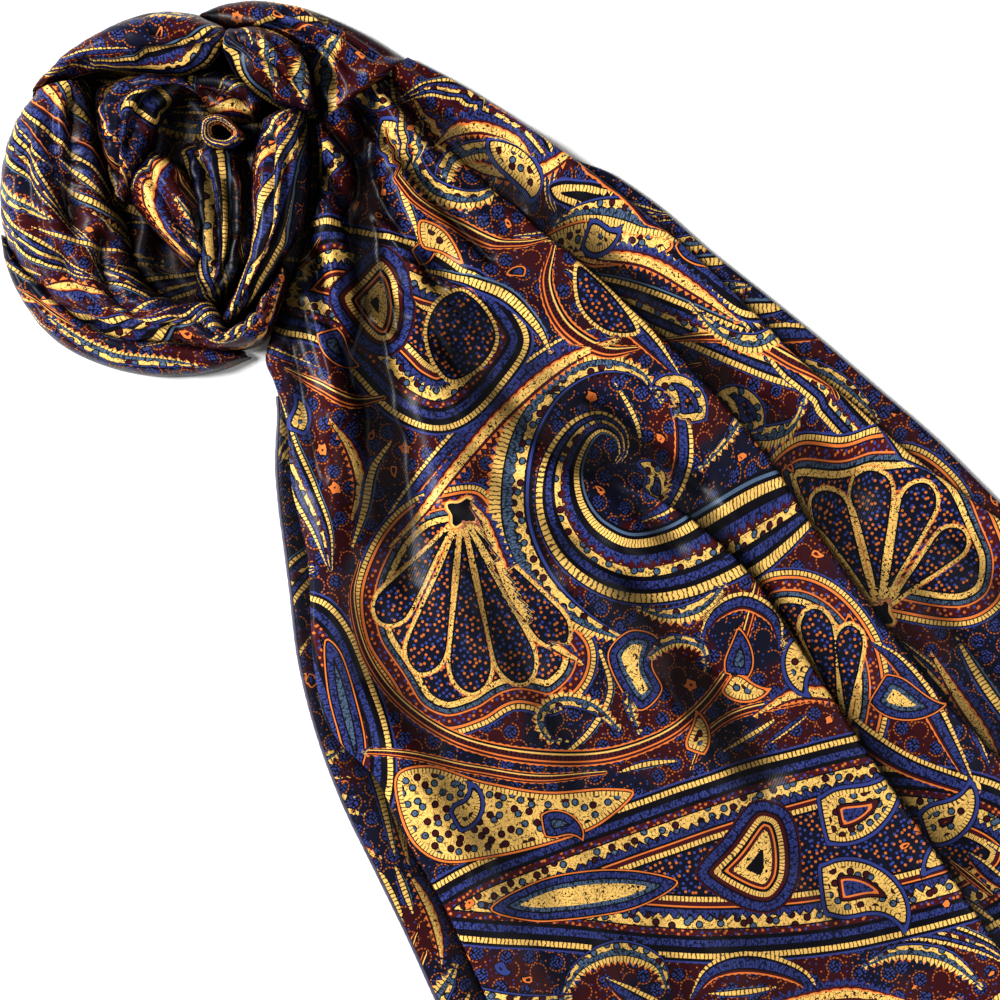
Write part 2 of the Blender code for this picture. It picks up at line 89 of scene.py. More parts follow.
# Small maths.
def smooth(value: Any, start: float = 0.0, stop: float = 1.0) -> Any:
    """Ease from 0 to 1, with level ends, while a number or an array goes from start to stop."""
    t = np.clip((value - start) / (stop - start), 0.0, 1.0)
    return t * t * (3.0 - 2.0 * t)


def ramp(value: float, start: float, stop: float) -> float:
    """Go evenly from 0 to 1 while value goes from start to stop."""
    return np.clip((value - start) / (stop - start), 0.0, 1.0)


def hermite(xs: np.ndarray, table: np.ndarray, places: np.ndarray) -> np.ndarray:
    """Read a smooth curve through a table's rows.

    Args:
        xs: The rows' places, rising.
        table: One row of values for each place.
        places: Where to read.

    Returns:
        One row of values for each place read.
    """
    slopes = np.gradient(table, xs, axis=0)
    k = np.clip(np.searchsorted(xs, places) - 1, 0, len(xs) - 2)
    step = (xs[k + 1] - xs[k])[:, None]
    t = (places - xs[k])[:, None] / step
    here = (2 * t**3 - 3 * t**2 + 1) * table[k] + (t**3 - 2 * t**2 + t) * step * slopes[k]
    return here + (3 * t**2 - 2 * t**3) * table[k + 1] + (t**3 - t**2) * step * slopes[k + 1]


def spin(u: Any, v: Any) -> tuple[Any, Any]:
    """Places along and across the scarf, from places right of the rosette's middle and above it."""
    c, s = math.cos(TURN), math.sin(TURN)
    return c * u - s * v, s * u + c * v


def plan(points: Any) -> np.ndarray:
    """Places along and across the scarf, from places on the picture's plan."""
    at = np.array(points, dtype=float) - HUB
    return np.stack(spin(at[:, 0], -at[:, 1]), axis=1)


def blend(a: Any, b: Any, c: Any, d: Any, t: Any) -> Any:
    """A smooth way from b, at t = 0, to c, with a before them and d after."""
    curve = (2 * a - 5 * b + 4 * c - d) * t**2 + (3 * b - a - 3 * c + d) * t**3
    return 0.5 * (2 * b + (c - a) * t + curve)


def spline(points: np.ndarray, closed: bool, steps: int) -> np.ndarray:
    """A smooth line through points.

    Args:
        points: The points, with any number of columns.
        closed: Whether the line comes back to its start.
        steps: Parts between two points.

    Returns:
        The line's points; a closed line doesn't repeat its first.
    """
    if closed:
        around = [np.roll(points, k, axis=0) for k in (1, 0, -1, -2)]
    else:
        n = len(points) - 1
        padded = np.vstack((2 * points[0] - points[1], points, 2 * points[-1] - points[-2]))
        around = [padded[k : n + k] for k in range(4)]
    t = (np.arange(steps) / steps)[None, :, None]
    line = blend(*(x[:, None, :] for x in around), t).reshape(-1, points.shape[1])
    return line if closed else np.vstack((line, points[-1:]))


def run(steps: np.ndarray) -> np.ndarray:
    """The way gone at each point, from the lengths between them."""
    return np.concatenate(([0.0], np.cumsum(steps)))


def settled(z: np.ndarray) -> np.ndarray:
    """Heights that come to rest softly on the floor instead of going through it."""
    return 0.5 * (z + np.sqrt(z * z + REST_ROUNDING**2))


def outward(grid: Grid) -> Grid:
    """Unit normals of a grid of points, on the side that faces out and up."""
    normal = np.cross(np.gradient(grid, axis=0), np.gradient(grid, axis=1))
    return normal / np.maximum(np.linalg.norm(normal, axis=2, keepdims=True), 1e-12)


def way_across(grid: Grid) -> np.ndarray:
    """Length of the way across a grid, in U, from its first column."""
    step = np.linalg.norm(np.diff(grid, axis=1), axis=2)
    return np.hstack((np.zeros((len(grid), 1)), np.cumsum(step, axis=1))) / U


def soft_noise(x: np.ndarray, y: np.ndarray, size: float, seed: int) -> np.ndarray:
    """Slow uneven waves from about -1 to 1.

    Args:
        x: Places along.
        y: Places across.
        size: Length of one wave.
        seed: Start of the fixed sequence.

    Returns:
        A value for each place.
    """
    total = np.zeros(np.broadcast(x, y).shape)
    for angle, phase, scale in np.random.default_rng(seed).random((9, 3)):
        turn = 2.0 * math.pi * angle
        pitch = 2.0 * math.pi / (size * (0.7 + 0.8 * scale))
        total = total + np.sin((x * math.cos(turn) + y * math.sin(turn)) * pitch + 6.28 * phase)
    return total / 5.0


# The laid panel: its sections are those of the solid model.
class PanelRow(NamedTuple):
    """The lines of one section across the laid panel."""

    right: float
    fold_c: float
    fold_a: float
    fold_b: float
    fold_left: float
    left: float


# Place along, then the six lines.
PANEL = (
    (40, 273, 273, 248, 134, 163, 163), (62, 284, 284, 254, 136, 149, 149),
    (81, 293, 293, 258, 138, 134, 134), (100, 301, 301, 261, 140, 115, 115),
    (124, 310, 310, 262, 142, 86, 86), (149, 320, 319, 263, 144, 44, 43),
    (172, 329, 326, 264, 146, 8, 6), (192, 337, 332, 264, 147, -19, -22),
    (215, 346, 339, 266, 149, -27, -43), (250, 360, 349, 270, 152, -40, -72),
    (310, 379, 364, 284, 158, -78, -99), (380, 393, 378, 297, 164, -112, -139),
    (450, 410, 388, 305, 174, -162, -181), (520, 426, 396, 310, 197, -196, -212),
    (590, 440, 411, 311, 216, -191, -234), (660, 454, 424, 304, 226, -205, -249),
    (730, 463, 443, 302, 221, -215, -264), (800, 472, 464, 301, 215, -231, -281),
    (880, 486, 486, 302, 208, -252, -298), (960, 500, 500, 308, 203, -275, -314),
    (1050, 515, 515, 314, 196, -303, -333), (1150, 532, 532, 322, 188, -340, -356),
    (1250, 554, 554, 332, 180, -384, -385), (1350, 578, 578, 344, 170, -412, -412),
)
# Soft folds from one place to another, with height and width; below zero it is a trough.
RIDGES = (
    (24, 206, 24, 206, 0.0125, 52), (40, 214, 160, 240, 0.006, 20), (40, 182, 260, 196, 0.006, 19),
    (60, 158, 240, 128, 0.006, 15), (110, 104, 262, 58, 0.006, 17), (200, 20, 330, -22, 0.0045, 18),
    (250, 190, 520, 262, 0.004, 22), (330, 40, 560, 70, 0.0034, 30),
    (420, -60, 760, -118, 0.0036, 34), (560, 140, 840, 128, 0.0038, 26),
    (620, 20, 900, 8, 0.003, 32), (820, -150, 1130, -205, 0.0034, 30),
    (860, 90, 1180, 70, 0.0032, 32), (700, 370, 1060, 400, 0.0034, 30),
)
# Finer creases than the solid model has.
CREASES = (
    (84, 150, 188, 69, 0.0056, 17), (188, 69, 282, -5, 0.0058, 18), (282, -5, 378, -84, 0.005, 21),
    (50, 222, 157, 128, -0.006, 14), (157, 128, 248, 66, -0.006, 17),
    (248, 66, 332, 26, -0.0052, 19), (332, 26, 446, -50, -0.004, 22),
    (96, 214, 186, 165, 0.003, 20), (186, 165, 279, 105, 0.0036, 22),
    (279, 105, 421, 27, 0.0036, 26), (421, 27, 520, -40, 0.003, 26),
    (604, 128, 720, 114, -0.003, 24), (720, 114, 828, 120, -0.003, 24),
    (560, 84, 800, 68, 0.0026, 26), (452, 168, 590, 184, -0.003, 15),
    (440, 128, 600, 146, 0.0024, 18), (44, 262, 190, 300, 0.0022, 7),
    (44, 244, 230, 268, -0.0026, 6), (44, 228, 240, 236, 0.0022, 7),
    (46, 202, 250, 214, -0.0036, 6), (50, 170, 236, 160, -0.0044, 7),
    (84, 142, 252, 98, -0.0046, 8), (112, 122, 236, 84, 0.0024, 6), (140, 78, 268, 30, -0.0036, 8),
    (170, 50, 286, 6, 0.0022, 7), (196, 8, 318, -52, -0.0024, 9), (232, 90, 420, 100, 0.002, 12),
    (240, 120, 470, 150, -0.002, 12), (300, 210, 480, 262, 0.0016, 9),
    (330, 330, 520, 352, 0.0018, 10), (430, 206, 560, 242, -0.0022, 10),
    (440, 110, 560, 128, 0.0016, 14), (470, 0, 700, -24, -0.0016, 16),
    (520, -150, 720, -176, 0.0018, 12), (590, 250, 820, 252, 0.0014, 9),
    (640, -100, 900, -150, -0.0014, 18), (700, 110, 980, 84, -0.0014, 18),
    (760, 350, 1040, 364, -0.0014, 14), (900, -40, 1200, -80, 0.0016, 20),
)


def pleat(y_fold: float, z_low: float, grow: float, reach: float) -> list[Span]:
    """The cloth's path through one pleat, from its raised side to its low side.

    Args:
        y_fold: The fold's place across, in metres.
        z_low: Height of the layer below.
        grow: 0 where the pleat begins and 1 where it is full.
        reach: Width of the plain step that it begins as.

    Returns:
        Eleven places across and heights.
    """
    turned = ramp(grow, 0.25, 0.6)
    lap = START_LAP + (FOLD_LAP - START_LAP) * ramp(grow, 0.55, 1.0)
    z_mid = z_low + WALL + LAY_GAP
    z_top = z_mid + PLEAT_LIFT
    out, inn = PLEAT_LIFT / 2.0, (WALL + LAY_GAP) / 2.0
    folded = (
        (3.2 * out, z_top), (out, z_top), (0.3 * out, z_top - 0.3 * out), (0.0, z_top - out),
        (0.3 * out, z_mid + 0.3 * out), (out, z_mid), (lap, z_mid), (lap + 0.9 * inn, z_mid - inn),
        (lap, z_low), (0.5 * lap, z_low), (-0.002, z_low),
    )
    path = []
    for k, (back, z) in enumerate(folded):
        t = k / (len(folded) - 1)
        plain_y = y_fold - reach + 1.22 * reach * t
        plain_z = z_low + (z_top - z_low) * (1.0 - smooth(t)) * smooth(grow / 0.4)
        y = plain_y + (y_fold - back - plain_y) * turned
        path.append((y, plain_z + (z - plain_z) * turned))
    return path


def edge_turn(side: float, y_edge: float, z: float, roll: float, lip: float) -> list[Span]:
    """A fold edge, listed from its hidden end up.

    Args:
        side: 1 for a right edge and -1 for a left one.
        y_edge: Where the edge is.
        z: Height of the turned-under cloth.
        roll: Height of the roll.
        lip: Width turned under.

    Returns:
        Six places across and heights.
    """
    half, near = roll / 2.0, 0.15 * roll
    turn = ((lip, 0.0), (half, 0.0), (near, near), (0.0, half), (near, roll - near), (half, roll))
    return [(y_edge - side * back, z + up) for back, up in turn]


def fold_height(folds: Rows, x: Any, y: Any, fade: float) -> Any:
    """Height of a set of soft folds.

    Args:
        folds: The folds.
        x: Places along, in U.
        y: Places across, in U.
        fade: Share of its height that a fold loses along its way.

    Returns:
        Heights in metres, in the shape of the places.
    """
    total = np.zeros(np.broadcast(x, y).shape)
    for x0, y0, x1, y1, height, width in folds:
        dx, dy = x1 - x0, y1 - y0
        length2 = dx * dx + dy * dy
        t = np.clip(((x - x0) * dx + (y - y0) * dy) / length2, 0.0, 1.0) if length2 else 0.5
        off = np.hypot(x - x0 - t * dx, y - y0 - t * dy)
        total = total + height * (1.0 - fade * t) * np.exp(-((off / width) ** 2))
    return total


@dataclass(frozen=True)
class Stretch:
    """One wound stretch that shows.

    A row is a section: two places and the crest's height. A crease is its place across, its drift
    across, its start and end along, its depth and its width; all but the depth are shares. The tuck
    is how far each end goes under, the spread how much wider each side lies than the solid.
    """

    node: str
    print_at: Span
    tuck: Span
    spread: Span
    rows: Rows
    creases: Rows
    gathers: float = 0.0
    slant: float = 0.0


STRETCHES = (
    Stretch(
        "outer_coil", (-820, 60), (6, 4), (5, 0),
        (
            (-74, 111, -129, 98, 0.022), (-64, 68, -150, 66, 0.026), (-56, 30, -160, 30, 0.029),
            (-50, -8, -163, -10, 0.028), (-38, -42, -156, -48, 0.029), (-30, -76, -128, -90, 0.028),
            (-8, -102, -84, -127, 0.029), (24, -110, -40, -149, 0.028), (50, -112, 14, -151, 0.027),
            (66, -136, 56, -157, 0.026), (88, -122, 96, -150, 0.024), (106, -92, 118, -110, 0.021),
            (118, -72, 126, -80, 0.016),
        ),
        (
            (0.3, 0.1, 0, 0.34, -0.0046, 0.07), (0.52, -0.12, 0.02, 0.4, -0.004, 0.06),
            (0.72, -0.16, 0.06, 0.46, -0.0036, 0.06), (0.22, 0.28, 0.3, 0.62, -0.0048, 0.07),
            (0.6, 0.06, 0.36, 0.74, -0.0036, 0.07), (0.36, 0.2, 0.62, 0.96, -0.004, 0.08),
            (0.82, -0.1, 0.5, 0.8, -0.0024, 0.05),
        ),
        gathers=0.0016,
        slant=46,
    ),
    Stretch(
        "coil_underlayer", (-520, 330), (2, 2), (16, 0),
        (
            (-160, -43, -164, -41, 0.006), (-148, -72, -156, -76, 0.011),
            (-124, -99, -138, -112, 0.014), (-88, -131, -106, -148, 0.016),
            (-43, -153, -54, -173, 0.016), (14, -155, 14, -182, 0.015), (58, -161, 62, -174, 0.012),
            (82, -160, 86, -164, 0.007),
        ),
        (
            (0.5, 0.1, 0.1, 0.9, -0.0016, 0.12),
        ),
        gathers=0.0004,
        slant=30,
    ),
    Stretch(
        "top_strand", (-400, 152), (6, 8), (6, 0),
        (
            (-121, 101.6, -129, 101, 0.017), (-96, 112, -106, 126, 0.028),
            (-66, 121, -76, 150, 0.035), (-30, 120, -36, 172, 0.038), (6, 117, 4, 180, 0.038),
            (32, 118, 38, 176, 0.035), (54, 130, 60, 164, 0.03), (63, 143, 67, 158, 0.025),
        ),
        (
            (0.3, 0.06, 0.55, 1, -0.0036, 0.08), (0.56, -0.06, 0.62, 1, -0.004, 0.07),
            (0.74, 0.08, 0.05, 0.7, -0.0018, 0.06), (0.86, 0.02, 0.1, 0.95, -0.0024, 0.035),
            (0.2, 0.1, 0, 0.35, -0.0024, 0.08),
        ),
        slant=-6,
    ),
    Stretch(
        "neck_strand", (-240, 160), (8, 12), (8, 6),
        (
            (63.4, 134.6, 69.4, 160.4, 0.028), (82, 112, 98, 159, 0.034),
            (101, 98, 126, 146, 0.034), (122, 87, 143, 124, 0.03), (141, 80, 151, 96, 0.023),
        ),
        (
            (0.34, -0.12, 0, 0.7, -0.0048, 0.08), (0.62, -0.2, 0, 1, -0.005, 0.08),
            (0.8, -0.25, 0.25, 1, -0.0034, 0.06),
        ),
        slant=34,
    ),
    Stretch(
        "neck_back", (-150, 180), (3, 5), (14, 0),
        (
            (38, 179, 42, 183, 0.007), (58, 169, 64, 190, 0.012), (84, 163, 92, 193, 0.015),
            (112, 157, 124, 189, 0.017), (136, 143, 156, 180, 0.019), (152, 125, 192, 164, 0.019),
            (158, 100, 216, 150, 0.019), (162.2, 73.9, 239.2, 133.9, 0.017),
        ),
        (
            (0.28, 0.06, 0.2, 1, -0.005, 0.08), (0.5, 0.02, 0.3, 1, -0.0042, 0.07),
            (0.72, 0.04, 0.35, 1, -0.0036, 0.07), (0.88, 0, 0.5, 1, -0.0022, 0.05),
        ),
        slant=-30,
    ),
    Stretch(
        "right_strand", (-700, 152), (14, 8), (7, 3),
        (
            (99, 68, 142.5, 78.4, 0.024), (94, 32, 145, 36, 0.031), (94, -5, 142, -2, 0.033),
            (96, -35, 134, -40, 0.032), (92, -65, 117, -67, 0.03), (79, -95, 97, -99, 0.026),
            (60, -125, 67, -130, 0.016),
        ),
        (
            (0.36, 0.1, 0, 0.75, -0.0042, 0.07), (0.62, 0.02, 0.1, 1, -0.0036, 0.06),
            (0.82, -0.06, 0, 0.6, -0.0026, 0.05),
        ),
    ),
    Stretch(
        "middle_coil", (-930, 300), (10, 12), (5, 12),
        (
            (-49, -4, -34, -8, 0.018), (-53.8, 30, -26, 28, 0.025), (-61.2, 66, -14, 62, 0.029),
            (-60, 101, -2, 86, 0.029), (-22, 116.4, 16, 97, 0.027), (16, 115.5, 34, 96, 0.024),
        ),
        (
            (0.34, 0.12, 0, 0.8, -0.004, 0.08), (0.6, 0.16, 0.2, 1, -0.0044, 0.08),
            (0.2, 0, 0.5, 1, -0.003, 0.06),
        ),
        gathers=0.0014,
        slant=24,
    ),
    Stretch(
        "inner_fold", (-620, 300), (12, 10), (4, 8),
        (
            (18, 115, 34.9, 96.8, 0.02), (60, 117, 50, 86, 0.022), (81, 110.2, 68, 78, 0.023),
            (99.4, 97.2, 86, 72, 0.02),
        ),
        (
            (0.36, 0.1, 0, 1, -0.0034, 0.08), (0.66, -0.1, 0.1, 1, -0.004, 0.09),
        ),
        slant=50,
    ),
    Stretch(
        "inner_coil", (-1010, 160), (12, 9), (13, 4),
        (
            (20, 40, 84, 38.8, 0.016), (34, 12, 92.4, 8, 0.02), (40, -14, 93.2, -18, 0.021),
            (42, -46, 92.4, -48, 0.021), (40, -80, 78, -82, 0.018), (34, -100, 60, -106, 0.012),
        ),
        (
            (0.3, 0.16, 0, 0.9, -0.0042, 0.07), (0.56, 0.06, 0.1, 1, -0.004, 0.07),
            (0.8, -0.08, 0, 0.8, -0.003, 0.06),
        ),
        gathers=0.001,
    ),
    Stretch(
        "core_roll", (-1100, 330), (4, 4), (8, 9),
        (
            (-18, 40, -6, 42, 0.012), (-28.4, 14, 15, 22, 0.023), (-26, -6, 32, -8, 0.025),
            (-12, -28, 39.6, -36, 0.025), (8, -52, 39, -62, 0.021), (22, -72, 32, -76, 0.012),
        ),
        (
            (0.42, 0.2, 0.05, 0.9, -0.003, 0.07), (0.74, 0.05, 0.2, 0.8, -0.0024, 0.05),
        ),
    ),
)


# The print.
class Ink(Enum):
    """The colours printed on the silk."""

    BLACK = (0.0025, 0.0020, 0.0040)
    NAVY = (0.0038, 0.0040, 0.0125)
    BLUE = (0.0250, 0.0350, 0.1600)
    SLATE = (0.0560, 0.0930, 0.1550)
    MAROON = (0.0420, 0.0046, 0.0070)
    ORANGE = (0.6600, 0.1600, 0.0300)
    GOLD = (0.7400, 0.4400, 0.1080)

    def rgba(self, share: float = 1.0) -> tuple[float, ...]:
        """The colour as four numbers."""
        return tuple(x * share for x in self.value) + (1.0,)


class Stitch(Enum):
    """What is drawn inside a band of the print."""

    PLAIN = 1.0
    COMB = 0.84
    HATCH = 0.67
    BEADS = 0.5
    DISCS = 0.33
    SPECKS = 0.17


class Kind(Enum):
    """The families of motif: the shader's number and the bands from the edge inward.

    A band is its start in U, its ink and its stitch. From STRIPES on they are ribbons, whose bands
    run across from one edge, 0, to the other, 80.
    """

    GREAT = (
        1,
        "0 blue, 2.4 black, 5.2 gold comb, 10.4 black, 17 blue hatch, 24 black, "
        "28 maroon beads, 34 black, 35.5 gold discs, 46 black, 48 blue hatch, 54 black, "
        "56 orange, 57.6 maroon, 62 gold comb, 67 black, 69.5 navy beads",
    )
    FRAME = (
        2,
        "0 maroon, 2 black, 3.4 blue hatch, 11.5 black, 13.2 maroon, 17 gold comb, 22 black, "
        "25 orange, 26.6 maroon, 30 gold specks, 38 black",
    )
    PETAL = 3, "0 orange, 1.2 gold specks, 4.6 black, 6.4 navy beads"
    FAN = (
        4,
        "0 blue, 2 black, 3.4 gold comb, 7.6 black, 9 orange, 11.4 navy, 13 maroon beads, "
        "22 orange, 23.6 maroon, 25 slate hatch, 28.5 black, 30.5 gold specks, 36 black, "
        "38 navy beads",
    )
    GOLDLEAF = 5, "0 black, 1.4 orange, 3.2 maroon, 4.6 gold comb, 9 gold discs"
    BLUELEAF = (
        6,
        "0 black, 1.4 orange, 2.8 black, 4.2 blue hatch, 10 black, 11.4 slate hatch, "
        "15.5 gold specks",
    )
    SCROLL = 7, "0 blue, 2 black, 3.2 gold discs, 10 black, 11.4 blue hatch, 15.5 black beads"
    FLORET = 8, "0 black, 1.3 orange, 4.2 maroon, 5.6 gold, 8.2 black"
    HEART = 17, "0 orange, 1.6 gold, 4 black"
    SCALES = 9, "0 gold comb, 4 black, 6 navy beads"
    BOTEH = (
        10,
        "0 black, 1.5 blue, 4.4 black, 6 gold comb, 10.5 gold discs, 19 black, 20.5 maroon, "
        "23 orange, 25 blue hatch",
    )
    STRIPES = (
        11,
        "0 blue, 2 black, 4 gold comb, 13 black, 18 blue hatch, 26 black, 31 gold discs, "
        "40 maroon, 45 blue hatch, 53 black, 61 gold comb, 69.5 black, 73 slate, 76 black",
    )
    CRESCENT = (
        12,
        "0 orange, 4 gold comb, 23 black, 26 slate hatch, 42 black, 45 gold discs, 62 black, "
        "66 blue, 71 black",
    )
    FLAME = 13, "0 orange, 7 maroon, 17 gold specks, 44 orange, 50 maroon, 58 blue hatch"
    RIBBON = 14, "0 orange, 9 maroon, 20 orange, 27 maroon comb, 52 gold, 60 black, 70 orange"
    COMBLINE = 15, "0 blue, 12 black, 22 gold comb, 58 black, 68 slate"
    BLUEBAND = (
        16,
        "0 orange, 8 maroon, 16 black, 22 blue hatch, 54 black, 62 gold comb, 76 black",
    )

    @property
    def stops(self) -> Stops:
        """The bands as a colour ramp's stops.

        Returns:
            Each band's start from 0 to 1, and its ink with its stitch as the fourth number.
        """
        rows = []
        for band in self.value[1].upper().split(", "):
            start, ink, stitch = f"{band} PLAIN".split()[:3]
            rows.append((float(start) / OUTLINE_REACH, Ink[ink].value + (Stitch[stitch].value,)))
        return rows


# Motifs: kind, layer and pleats crossed, then places on the picture's plan. An outline's place is
# two numbers, a ribbon's has its half width too, and a drop's its length, direction and curl.
MOTIFS = """
stripes 1 0 612,468,2 624,452,5 620,432,9 600,422,13 578,436,18 562,470,24 564,510,30 586,545,35
    628,566,38 680,560,41 735,532,45 800,492,44 850,462,30 890,440,8
crescent 1 0 664,404,2 640,372,7 598,364,12 556,384,16 526,424,20 512,476,23 514,532,24 540,584,21
    582,620,13 628,640,3
flame 1 0 388,548,3 420,512,8 458,462,11 505,408,13 560,362,12 618,338,3
blueband 0 0 366,560,3 402,504,7 448,448,9 500,392,9 556,348,7 604,326,2
flame 2 0 466,498,3 486,520,8 500,556,12 520,600,13 552,640,10 582,662,3
ribbon 1 0 360,560,2 352,600,5 366,656,6 402,704,7 460,740,8 530,756,9 600,756,9 662,736,8 706,702,7
    736,656,6 752,606,6 760,560,4
ribbon 1 0 330,752,3 400,754,5 470,768,6 540,778,6 606,772,3
combline 0 0 600,650,3 610,690,5 590,730,5 556,762,3
crescent 2 0 640,735,2 628,700,7 640,662,9 672,640,8 702,646,6 708,668,3
crescent 2 0 620,730,3 592,706,8 560,700,9 540,716,7 548,738,5 566,740,2
ribbon 1 0 690,770,2 706,736,5 740,712,6 790,700,6 850,690,3
crescent 1 0 700,470,2 736,430,6 748,392,9 732,360,9 706,354,6 698,372,2
combline 0 0 640,320,3 690,336,5 740,372,6 790,420,5 830,470,3
stripes 0 2 500,250,3 550,268,12 610,292,20 680,318,24 760,350,24 850,392,20
flame 1 2 420,96,3 448,128,9 488,156,12 534,166,12 572,150,9 590,124,3
crescent 1 2 470,214,3 452,184,9 464,150,12 500,140,12 528,158,9 524,186,3
combline 1 0 398,66,2 404,118,5 410,172,6 420,214,5 424,244,2
ribbon 1 0 388,128,2 404,166,5 434,204,7 478,230,8 520,240,6 556,236,2
crescent 1 0 430,108,2 424,138,8 434,172,12 462,194,13 492,192,9 504,172,3
stripes 0 0 404,96,3 442,84,10 486,92,15 528,116,16 562,150,12 590,184,3
flame 1 0 444,140,3 462,122,9 494,116,12 526,130,9 548,156,3
ribbon 1 0 556,244,3 548,284,8 566,326,10 604,350,9 640,348,3
combline 1 0 430,268,3 468,276,8 508,296,10 538,326,7 552,352,2
blueband 0 0 566,270,3 592,292,10 622,316,12 652,344,10 680,376,3
crescent 1 2 560,220,2 590,204,9 630,206,15 668,226,12 700,256,3
flame 1 2 572,250,2 606,246,9 650,258,13 696,284,11 740,318,3
ribbon 1 2 660,340,2 706,336,6 752,338,8 800,358,8 840,396,3
stripes 0 2 716,286,3 756,318,12 800,360,18 842,408,18 888,462,14 930,520,3
crescent 1 2 700,372,2 716,410,9 752,434,12 790,428,9 804,400,3
blueband 1 0 664,384,2 684,420,9 688,462,11 672,500,9 640,520,3
ribbon 1 0 282,372,2 318,390,7 352,402,8 384,398,3
stripes 0 0 276,400,3 286,446,14 304,490,16 322,534,12 330,570,3
flame 1 0 330,420,2 352,448,9 362,484,10 352,520,3
combline 1 0 392,440,2 372,470,7 364,510,7 352,548,2
crescent 1 0 560,1000,2 580,966,9 618,950,13 656,962,10 668,990,3
blueband 1 0 690,1000,2 712,970,9 752,962,12 800,976,9 820,1004,3
flame 1 0 740,1012,2 790,1000,9 850,990,12 910,1000,3
crescent 1 0 860,966,2 900,950,9 946,956,11 980,984,3
stripes 0 0 836,950,3 880,932,10 930,928,13 980,942,10 1010,962,3
blueband 1 0 700,640,2 716,612,8 744,600,10 772,616,8 780,644,3
crescent 1 0 636,606,2 668,614,9 700,606,11 724,584,3
flame 1 0 752,716,2 790,692,10 826,690,12 856,708,3
flame 1 0 334,770,2 350,806,9 366,846,11 374,888,3
combline 1 0 300,640,2 312,700,6 326,756,7 346,820,7 360,880,3
flame 1 2 930,650,2 956,690,10 984,730,12 1004,770,3
stripes 0 2 902,642,3 936,678,12 972,722,14 1006,778,10
blueband 1 1 870,640,2 896,660,8 926,700,11 950,744,9 974,790,3
crescent 1 0 430,964,2 470,990,10 520,1002,12 570,996,3
stripes 0 0 392,850,3 416,906,12 436,958,14 462,1010,10
blueband 1 1 775,610,3 800,660,9 840,716,12 900,760,12 970,786,10
crescent 1 2 690,300,2 722,330,9 756,340,12 782,326,10 780,302,6 762,300,2
combline 1 2 560,60,3 620,120,7 690,190,9 770,270,9 850,360,9 940,470,6
blueband 1 2 420,40,3 480,70,9 550,110,12 620,165,12 680,230,6
great 0 0 536,340 508,288 462,252 410,232 350,216 300,226 262,262 248,312 276,342 318,352 352,382
    388,418 430,436 468,428 504,394
fan 0 0 440,486 486,486 520,540 556,596 596,640 592,684 556,716 516,712 486,728 446,738 408,722
    384,686 358,644 352,590 372,536 404,500
great 0 0 404,902 452,866 520,838 600,808 690,776 780,748 860,728 950,716 1050,730 1110,780 1100,850
    1030,900 940,930 850,952 760,962 660,962 560,952 470,946 420,936
great 0 0 288,596 322,594 352,624 374,674 392,728 396,784 380,836 344,800 318,744 298,690 284,640
goldleaf 0 0 392,776 430,764 486,780 548,790 606,786 636,792 600,826 548,846 486,860 436,862 404,834
fan 0 2 846,604 806,560 772,512 766,462 800,430 846,430 882,420 930,428 974,462 1000,510 1016,556
    1006,604 966,628 904,622
fan 0 1 838,770 800,720 760,664 742,612 760,572 806,566 850,590 884,640 892,700 876,756
great 0 2 600,212 570,196 560,176 590,168 640,186 700,226 750,276 770,316 740,318 690,282 640,240
goldleaf 0 2 548,236 580,214 626,212 664,226 676,248 640,262 590,262
boteh 1 0 500,128 536,138 566,168 556,186 524,176 500,154
goldleaf 1 0 426,216 452,228 474,262 446,252 424,246
scales 1 0 576,262 600,276 632,312 640,334 606,334 578,306
frame 1 0 330,296 356,262 384,240 412,268 418,312 404,350 372,356 344,330
scales 1 0 440,296 468,286 492,312 500,340 484,368 452,384 430,362 424,326
frame 1 0 694,874 722,836 752,800 786,806 800,840 798,884 774,912 736,906
blueleaf 1 0 486,908 540,878 596,868 646,870 680,882 640,908 580,920 528,922
blueleaf 1 0 606,652 630,628 660,636 654,664 664,690 640,712 618,688
blueleaf 2 0 322,640 340,652 356,700 366,752 354,780 338,744 324,692
boteh 1 0 796,660,74,-120,0.7
goldleaf 1 0 742,690,56,-30,0.5
scroll 1 0 664,480,60,80,0.9
boteh 1 0 300,420,50,70,0.6
boteh 1 0 858,812,118,12,0.55
boteh 1 0 860,884,122,8,-0.75
boteh 1 0 960,842,96,186,0.45
boteh 2 0 470,812,62,30,0.95
blueleaf 1 0 560,822,58,10,-0.7
goldleaf 1 0 700,736,52,70,0.4
blueleaf 1 0 740,656,60,80,0.2
floret 1 0 414,128,16,60,0
boteh 1 2 606,236,62,-10,0.6
blueleaf 1 2 700,250,64,-45,0.3
scroll 1 0 690,396,76,100,0.9
scroll 1 2 752,402,74,110,0.95
blueleaf 1 0 334,350,60,-70,0.55
boteh 0 0 392,142,70,-100,0.7
scroll 0 0 372,96,62,-60,0.8
blueleaf 0 0 430,250,44,30,0.4
blueleaf 1 1 900,700,84,-30,0.35
boteh 1 1 950,820,90,20,0.65
blueleaf 1 1 846,640,56,60,0.35
"""
# Fan flowers: the heart's place, the pleats crossed, and each petal's tip with its half width.
FANS = (
    (
        (462, 512), 0,
        ((380, 622, 22), (420, 672, 24), (472, 692, 25), (524, 682, 24), (564, 644, 22)),
    ),
    (
        (880, 614), 2,
        ((802, 540, 20), (822, 488, 22), (872, 466, 24), (926, 480, 22), (964, 528, 20)),
    ),
    ((846, 744), 1, ((772, 690, 16), (776, 644, 18), (812, 606, 20), (850, 622, 18))),
)
# A petal's outline: shares of the way to its tip, and of its half width.
PETAL_EDGE = ((0.05, 0.14), (0.35, 0.44), (0.65, 0.82), (0.86, 1.0), (0.98, 0.66), (1.03, 0.0))


